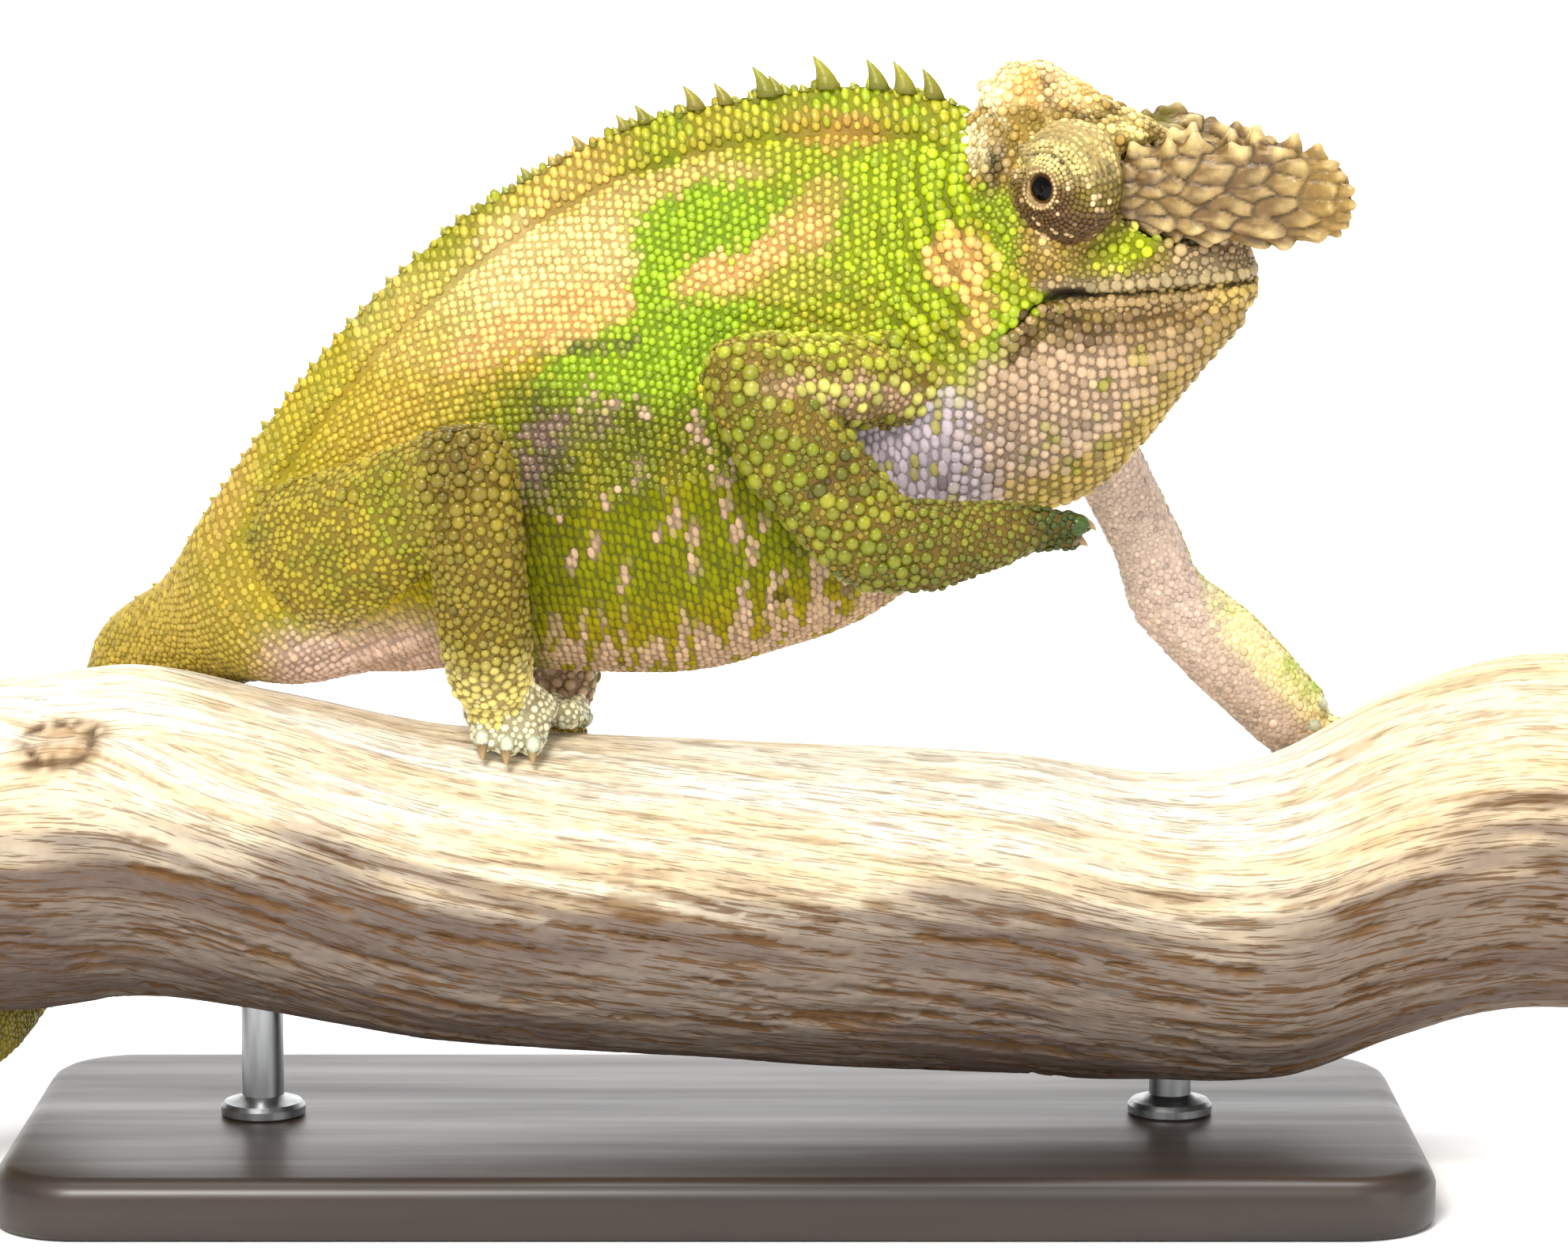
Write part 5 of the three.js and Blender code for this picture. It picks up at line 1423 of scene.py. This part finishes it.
def make_horn(side):
    """Long flat plates that overlap towards the tip, with pointed peaks along the top edge."""
    name, horn = "horn_" + side, HORNS[side]
    points, _, tris = merged_node(name)
    mesh = remeshed(points, tris, 0.36)
    shade_smooth(mesh)
    p = Relaxer(mesh).run(points_of(mesh), 18, np.ones(len(mesh.vertices)))
    set_points(mesh, p)
    normal, h = normals_of(mesh), to_head(p)
    x, y, z = h.T
    # Plates: cells round scattered seeds, longer along the horn.
    rng = np.random.default_rng(horn["seed"])
    bend = np.stack([fractal(p, 5, seed) for seed in (93, 94, 95)], axis=1)
    q = h / (2.0, 1.0, 1.0) + 0.75 * bend
    gap = np.interp(x, [17, 25, 40, 48], [1.3, 1.9, 2.2, 1.6])
    seeds = []
    for i in rng.permutation(len(p)):
        if all(np.linalg.norm(q[i] - q[j]) > gap[i] for j in seeds):
            seeds.append(i)
    away = np.linalg.norm(q[:, None] - q[seeds][None], axis=2)
    two = np.partition(away, 1, axis=1)[:, :2]
    which = away.argmin(1)
    groove = smooth(0, 0.55, two[:, 1] - two[:, 0])
    offset = q - q[seeds][which]
    shingle = np.clip(offset[:, 0] / 1.1, -1, 1)
    strong = (0.5 + 0.8 * rng.random(len(seeds)))[which]
    edge = smooth(2.5, 6.0, np.abs(z - horn["middle"])) + smooth(42, 47, x)
    tip = np.exp(-((offset[:, 0] - 0.5) ** 2 / 0.35 + offset[:, 1] ** 2 / 0.7 + offset[:, 2] ** 2 / 0.5))
    out = -0.9 + 0.45 * groove + 0.36 * shingle * groove * strong + 0.8 * np.clip(edge, 0, 1) * strong * tip
    upward = smooth(0.25, 0.8, normal[:, 2])
    for k, peak in enumerate(horn["peaks"]):
        lean, high = (0.35, 2.0) if k % 2 else (-0.35, 2.6)
        swell = hump((x - (peak + lean)) / 0.95) * hump((y - np.median(y)) / 2.0)
        out += upward * swell * high * horn["strength"]
    out += 0.13 * fractal(p, 1.2, 91) + 0.22 * fractal(p, 4, 96)
    set_points(mesh, p + normal * np.minimum(out, 1.9)[:, None])
    n1 = fractal(p, 4, 92)
    streak = noise(h * (0.35, 1.6, 1.6), 0.9, 98)
    colour = plain((124, 94, 50), p)
    over(colour, (104, 76, 42), smooth(-0.1, 0.5, n1) * 0.6)
    over(colour, (156, 124, 62), smooth(0.1, 0.6, fractal(p, 3, 97)) * 0.6)
    over(colour, (182, 150, 96), smooth(0.1, 0.6, streak) * 0.55)
    # Painted shade in the grooves between the plates.
    over(colour, (64, 46, 20), (1 - groove) * 0.75)
    # Painted highlight on the plates' raised tips, edges and peaks.
    painted_highlight = np.clip(tip * (0.4 + edge) + smooth(0.3, 1.0, out), 0, 1)
    over(colour, (244, 216, 146), painted_highlight * 0.75)
    # Painted highlight on the front edges of the plates.
    over(colour, (206, 176, 120), smooth(0.25, 0.8, shingle) * smooth(0.15, 0.5, groove) * 0.45)
    over(colour, (164, 128, 50), smooth(38, 46, x) * 0.5)
    over(colour, (150, 122, 96), smooth(26, 19, x) * smooth(13, 10, z) * 0.6)
    if side == "left":
        over(colour, (116, 106, 30), smooth(34, 24, x) * smooth(-0.3, 0.3, n1) * 0.8)
    obj = linked(name + "_plates", mesh)
    paint(mesh, np.clip(0.84 * colour, 0, 1))
    mesh.materials.append(HORN_MAT)
    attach(obj, "root")
    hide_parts(name)


for side in ("right", "left"):
    make_horn(side)


# ------------------------------------------------------------------ eyes
def make_eye(side):
    """A dark pupil with a thin brown iris, on a ball as wide as the CAD's."""
    centre, gaze, across, up = EYES[side]
    r = EYE["ball"]
    points, faces = ball(centre, (across * r, up * r, gaze * r), 64, 72)
    obj = new_object(f"eye_{side}_ball", points, faces)
    way = unit(points - centre)
    bent = np.degrees(np.arccos(np.clip(way @ gaze, -1, 1)))
    colour = plain((5, 3, 3), points)
    over(colour, (112, 74, 34), smooth(PUPIL - 3.6, PUPIL - 2.4, bent))
    over(colour, (26, 16, 10), smooth(PUPIL - 1.4, PUPIL - 0.2, bent))
    paint(obj.data, colour)
    obj.data.materials.append(EYE_MAT)
    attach(obj, "root")
    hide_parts("eye_" + side)


EYE_MAT = material("eye_wet", (0.05, 0.09), 300, 0.03, 900, 0.00005, vary=0.2, specular=0.14)
for side in EYES:
    make_eye(side)


# ------------------------------------------------------------------ claws
CLAW_MAT = material("claw_horn", (0.25, 0.4), 500, 0.2, 1500, 0.0001, vary=0.12, coat=0.15)


def make_claws(limb):
    """Each CAD claw as a smooth curved cone along its own line."""
    points, faces, shades, start = [], [], [], 0
    names, rows, sides = claws_of(limb), 9, 10
    f = np.linspace(0, 1, rows)[:, None]
    ring = np.linspace(0, 2 * math.pi, sides, endpoint=False)
    size = 1.1 * (1 - f[:, 0]) ** 0.75 + 0.06
    level = np.r_[np.repeat(f[:, 0], sides), 0, 1]
    for name in names:
        root, axis, length = claw_line(name)
        droop = np.array([0, 0, -1.0]) + axis * axis[2]
        root = root - axis * 0.9
        bend = root + axis * length * 0.38 - droop * 0.3
        tip = root + axis * (length * 0.58 + 0.4) + droop * 0.3
        path = (1 - f) ** 2 * root + 2 * f * (1 - f) * (2 * bend - (root + tip) / 2) + f ** 2 * tip
        side_way, other = across_of(axis)
        round_it = np.cos(ring)[None, :, None] * side_way + np.sin(ring)[None, :, None] * other * 0.85
        loop = path[:, None] + size[:, None, None] * round_it
        points.append(np.concatenate([loop.reshape(-1, 3), [path[0]], [path[-1]]]))
        count = rows * sides
        caps = end_fans(sides, count - sides, count, count + 1)
        faces += [triangles([grid_faces(rows, sides)]) + start, caps + start]
        shade = plain((92, 70, 38), level)
        over(shade, (176, 146, 100), level)
        shades.append(shade)
        start += count + 2
    obj = new_object("claws_" + limb, np.concatenate(points), np.concatenate(faces))
    paint(obj.data, np.concatenate(shades))
    obj.data.materials.append(CLAW_MAT)
    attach(obj, "root")
    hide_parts(*names)


for limb in DIGITS:
    make_claws(limb)


# ------------------------------------------------------------------ branch
def make_perch():
    """Bleached, fissured wood with a knot, round the CAD's branch, with painted shade on its lower side."""
    rows, columns, girth = 500, 290, 21.5
    turns = np.linspace(0, 2 * math.pi, columns, endpoint=False)
    x, a = (g.ravel() for g in np.meshgrid(np.linspace(-134, 119, rows), turns, indexing="ij"))
    # Grain runs along the branch, twisting slightly, and bends round the knot.
    knot_x, knot_a = -86.5, math.radians(-47)
    turned = a - 2 * math.pi * (a > math.pi)
    away = np.hypot((x - knot_x) / 1.5, girth * (turned - knot_a))
    twist = a * girth + 0.12 * x + 4 * hump(away / 9) * np.sign(turned - knot_a)
    ring = 2 * math.pi * girth

    def grain(long, wide, seed):
        f = twist / ring
        loop = np.stack([np.cos(2 * math.pi * f), np.sin(2 * math.pi * f)], axis=1) * girth / wide
        return noise(np.stack([x / long, loop[:, 0], loop[:, 1]], axis=1), 1.0, seed)

    # The lower side, where shade is painted and the cracks are denser.
    upward = np.cos(a) + 0.12 * noise(np.stack([x, 12 * np.cos(a), 12 * np.sin(a)], 1), 14, 7)
    low = smooth(0.5, -0.06, upward + 0.16 * grain(18, 1.2, 11) + 0.08 * grain(6, 0.7, 12))
    fissure = smooth(0.3, 0.6, grain(8, 0.75, 3) + 0.25 * grain(30, 3, 4))
    fine = smooth(0.2, 0.6, grain(5, 0.5, 5))
    cracked = (0.3 + 0.7 * low) * (0.8 * fissure + 0.3 * fine)
    depth = cracked - 0.3 * grain(60, 5, 6) - 0.12 * grain(14, 1.4, 10)
    hollow = hump((x - 65) / 14, (girth * turned + 26) / 7)
    depth = depth + 0.9 * hollow + 0.25 * hollow * np.sin(x * 1.1)
    rolled_out = np.stack([x, girth * turned, 0 * x], axis=1)
    lumps, crumbs = noise(rolled_out, 2.2, 13), noise(rolled_out, 1.0, 14)
    rim = away - 3.2 - 0.9 * lumps
    depth = depth - 1.3 * hump((away - 5.0) / 2.4) * (1 + 0.5 * lumps)
    depth = depth + 1.2 * hump(rim / 0.8) - hump(away / 3.4) * (0.9 + 0.7 * lumps + 0.5 * crumbs)
    lift = np.clip(0.15 - depth, -2.2, 0.55)
    lift = np.where(np.cos(a) > 0.2, np.minimum(lift, 0.25), lift)
    p = on_bark(x, a, lift)
    colour = plain((230, 214, 186), x)
    over(colour, (236, 230, 214), smooth(0.3, 0.9, np.cos(a)) * 0.85)
    over(colour, (220, 190, 146), smooth(72, 92, x) * 0.6)
    over(colour, (206, 174, 116), smooth(-0.2, 0.5, grain(25, 2.2, 8)) * 0.4)
    # Painted shade on the lower side: grey-brown and mottled, with darker fissures.
    over(colour, (108, 95, 88), low * 0.92)
    over(colour, (84, 68, 64), low * smooth(-0.1, 0.4, grain(35, 3, 9)) * 0.6)
    over(colour, (112, 82, 50), np.clip(fissure * (0.35 + 0.6 * low), 0, 0.9))
    over(colour, (168, 130, 70), fine * (1 - low) * 0.3)
    over(colour, (150, 116, 74), np.exp(-(away / 4.4) ** 4) * (0.75 - 0.3 * crumbs))
    over(colour, (66, 46, 28), hump(rim / 0.9) * smooth(0.6, -0.4, crumbs) * 0.85)
    around = 2 * math.pi * twist / ring
    lines_at = np.stack([x, girth * np.cos(around), girth * np.sin(around)], axis=1)
    faces = [grid_faces(rows, columns)]
    # Sawn ends with growth rings.
    points, shades, start = [p], [colour], len(p)
    for end in (0, rows - 1):
        rim = p.reshape(rows, columns, 3)[end]
        centre = rim.mean(0)
        levels = np.linspace(0.985, 0.03, 40)
        discs = (centre + (rim - centre)[None] * levels[:, None, None]).reshape(-1, 3)
        out, around_end = np.repeat(levels, columns), np.tile(turns, len(levels))
        shade = plain((214, 186, 138), out)
        rings = 0.5 + 0.5 * np.sin(100 * out ** 1.2 + 2.2 * noise(discs, 5, 15))
        over(shade, (178, 144, 98), rings * 0.75)
        over(shade, (150, 122, 90), smooth(0.86, 0.97, out) * 0.6)
        for turn_of, reach in ((0.7, 0.9), (2.3, 0.4), (3.3, 0.55), (5.1, 0.35)):
            bend = np.abs(np.angle(np.exp(1j * (around_end - turn_of - 0.3 * noise(discs, 5, 16)))))
            crack = smooth(0.55, 0.15, bend * girth * out)
            over(shade, (96, 70, 44), crack * smooth(reach, reach - 0.3, out))
        points += [discs, centre[None]]
        shades += [shade, lin(96, 70, 44)[None]]
        k = np.arange(columns)
        rim_index = end * columns + k
        loops = [rim_index] + [start + level * columns + k for level in range(len(levels))]
        for outer, inner in zip(loops[:-1], loops[1:]):
            quad = np.stack([outer, np.roll(outer, -1), np.roll(inner, -1), inner], axis=1)
            faces.append(quad if end else quad[:, ::-1])
        fan = np.stack([loops[-1], np.roll(loops[-1], -1), k * 0 + start + len(levels) * columns], axis=1)
        faces.append(fan if end else fan[:, ::-1])
        start += len(levels) * columns + 1
    obj = new_object("branch", np.concatenate(points), [triangles(faces)])
    flip_if_inward(obj)
    paint(obj.data, np.clip(np.concatenate(shades), 0, 1))
    grain_at = np.concatenate([lines_at, *points[1:]])
    layer = obj.data.attributes.new("Grain", "FLOAT_VECTOR", "POINT")
    layer.data.foreach_set("vector", grain_at.astype(np.float32).ravel())
    # The lower side's share, for the painted shade and the denser cracks in the material.
    shaded_underside = np.r_[low, np.full(len(grain_at) - len(low), 0.3)]
    layer = obj.data.attributes.new("ShadedUnderside", "FLOAT", "POINT")
    layer.data.foreach_set("value", shaded_underside.astype(np.float32))
    obj.data.materials.append(wood_material())
    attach(obj, "root")
    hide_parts("perch")


def wood_material():
    """Bleached wood with fine cracks that follow its grain, denser on its lower side and darker there as
    painted shade.
    """
    m = look("bleached_wood", (0.7, 0.9), 300, 0.4, 900, 0.0002, vary=0.07, specular=0.15)
    grain, shaded_underside = m.add("Attribute"), m.add("Attribute")
    grain.attribute_name, shaded_underside.attribute_name = "Grain", "ShadedUnderside"

    def cracks(scale, low, high):
        along = m.add("Mapping", Scale=scale, Vector=grain.outputs["Vector"]).outputs["Vector"]
        return m.ranged(m.noise(along, 1.0, 3.0), 0.0, 1.0, low, high)

    def on_shaded_underside(value, more, least):
        share = m.maths("MULTIPLY", shaded_underside.outputs["Fac"], more)
        return m.maths("MULTIPLY", value, m.maths("ADD", share, least))

    dark = m.maths("MAXIMUM", on_shaded_underside(cracks((0.1, 1.7, 1.7), 0.58, 0.63), 0.65, 0.3),
                   on_shaded_underside(cracks((0.16, 3.6, 3.6), 0.585, 0.625), 0.35, 0.5))
    colour, normal = (m.shader.inputs[name].links[0].from_socket for name in ("Base Color", "Normal"))
    deep = m.add("Bump", Strength=0.6, Distance=0.0003, Height=dark, Normal=normal)
    deep.invert = True
    m.put(m.shader, Base_Color=m.mixed(dark, colour, lin(96, 68, 42)), Normal=deep.outputs["Normal"])
    return m.material


def flip_if_inward(obj):
    """Turns all faces round if they point in."""
    bm = bmesh.new()
    bm.from_mesh(obj.data)
    if bm.calc_volume(signed=True) < 0:
        bmesh.ops.reverse_faces(bm, faces=bm.faces)
    bm.to_mesh(obj.data)
    bm.free()


make_perch()


# ------------------------------------------------------------------ stand
BASE_MAT = material("stained_base", (0.35, 0.55), 120, 0.2, 300, 0.0002,
                    colour=(lin(52, 38, 28), lin(34, 25, 19)), vary=0.2, stretch=(0.08, 1, 1), coat=0.2)
STEEL_MAT = material("satin_steel", (0.28, 0.42), 800, 0.08, 1500, 0.00005, vary=0.05, metallic=1.0,
                     colour=(lin(176, 178, 180), lin(150, 152, 154)), stretch=(1, 1, 0.1))
BASE_CORNER, BASE_TOP = 12.0, 8.0
BASE_EDGE = [(1.4, 0.0), (0.4, 0.25), (0.0, 1.2), (0.0, 5.6), (0.35, 6.6), (1.0, 7.4), (2.0, 7.9),
             (3.2, BASE_TOP)]  # inset and height


def make_base():
    """A flat plate with rounded corners and a softly turned edge."""
    low, high = (np.array(c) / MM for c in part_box("stand_base"))
    centre, half = (low + high) / 2, (high - low) / 2
    outline, flat = [], half - BASE_CORNER
    for q, (sx, sy) in enumerate([(1, 1), (-1, 1), (-1, -1), (1, -1)]):
        for v in np.linspace(0, math.pi / 2, 14) + q * math.pi / 2:
            outline.append((sx * flat[0], sy * flat[1], math.cos(v), math.sin(v)))
    outline = np.array(outline)
    rings = []
    for inset, height in BASE_EDGE:
        xy = outline[:, :2] + outline[:, 2:] * (BASE_CORNER - inset)
        rings.append(np.column_stack([xy + centre[:2], np.full(len(xy), height)]))
    count, steps = len(outline), len(BASE_EDGE)
    p = np.concatenate(rings + [[[centre[0], centre[1], z]] for z in (0.0, BASE_TOP)])
    caps = end_fans(count, (steps - 1) * count, len(p) - 2, len(p) - 1)
    obj = new_object("base_plate", p, [grid_faces(steps, count), caps])
    flip_if_inward(obj)
    obj.data.materials.append(BASE_MAT)
    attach(obj, "root")
    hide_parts("stand_base")


def make_rod(end):
    """A turned steel rod that stands on the base in a round flange."""
    low, high = (np.array(c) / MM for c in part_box("stand_rod_" + end))
    x, y = (low + high)[:2] / 2
    r, top, sides = (high - low)[0] / 2, high[2], 48
    profile = [(0.01, low[2]), (r, low[2]), (r, 8.0), (r + 2.6, 8.0), (r + 2.9, 8.3), (r + 2.9, 9.3),
               (r + 2.4, 9.9), (r + 0.7, 10.3), (r, 10.8), (r, top - 0.4), (r - 0.4, top), (0.01, top)]
    ring = np.linspace(0, 2 * math.pi, sides, endpoint=False)
    p = np.array([(x + r * math.cos(a), y + r * math.sin(a), z) for r, z in profile for a in ring])
    obj = new_object("rod_" + end, p, [grid_faces(len(profile), sides)])
    flip_if_inward(obj)
    edge = obj.modifiers.new("edges", "EDGE_SPLIT")
    edge.split_angle = math.radians(35)
    obj.data.materials.append(STEEL_MAT)
    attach(obj, "root")
    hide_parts("stand_rod_" + end)


make_base()
for end in ("rear", "front"):
    make_rod(end)


# ------------------------------------------------------------------ floor, light and camera
def make_stage():
    """A pale floor that curves up into a backdrop far behind."""
    front, start, bend, top, half_width = -3.0, 0.9, 0.6, 3.0, 4.0
    profile = [(front, 0.0), (start, 0.0)]
    for a in np.linspace(0.1, math.pi / 2, 12):
        profile.append((start + bend * math.sin(a), bend - bend * math.cos(a)))
    profile.append((1.5, top))
    p = np.array([(x, y, z) for y, z in profile for x in (-half_width, half_width)]) / MM
    obj = new_object("stage_floor", p, [grid_faces(len(profile), 2, wrap=False)])
    obj.data.materials.append(material("paper", (0.8, 0.95), 20, 0.05, 60, 0.0002, vary=0.003,
                                       colour=(lin(252, 252, 252), lin(251, 251, 251))))


def aimed(obj, place, target):
    obj.location = place
    obj.rotation_euler = (target - place).to_track_quat("-Z", "Y").to_euler()


def area_light(name, place, aim, size, power, colour=(1, 1, 1)):
    data = bpy.data.lights.new(name, "AREA")
    data.shape, data.size, data.energy, data.color = "DISK", size, power, colour
    aimed(linked(name, data), Vector(place), Vector(aim))


make_stage()
world = bpy.data.worlds.new("studio")
world.use_nodes = True
background = world.node_tree.nodes["Background"].inputs
background["Color"].default_value, background["Strength"].default_value = (1, 1, 1, 1), 0.66
bpy.context.scene.world = world
area_light("key", (-0.25, -0.85, 0.85), (0, 0, 0.1), 0.4, 13.5, (1, 0.98, 0.93))
area_light("top", (0.1, 0.15, 1.3), (0, 0, 0.1), 0.6, 7)
area_light("fill", (0.9, -0.8, 0.35), (0, 0, 0.1), 0.8, 2.5)
area_light("backdrop", (0, 0.5, 1.1), (0, 1.5, 0.35), 0.8, 14)
bpy.context.scene.view_settings.view_transform = "Standard"

camera = bpy.data.cameras.new("camera")
camera.lens, camera.sensor_width = 119.0, 36.0
camera.clip_start, camera.clip_end = 0.02, 20.0
camera_object = linked("camera", camera)
target, elevation, distance = Vector((0.0092, 0, 0.0752)), math.radians(8), 0.70
back = Vector((0, -math.cos(elevation), math.sin(elevation)))
camera_object.location = target + back * distance
camera_object.rotation_euler = (-back).to_track_quat("-Z", "Y").to_euler()
bpy.context.scene.camera = camera_object
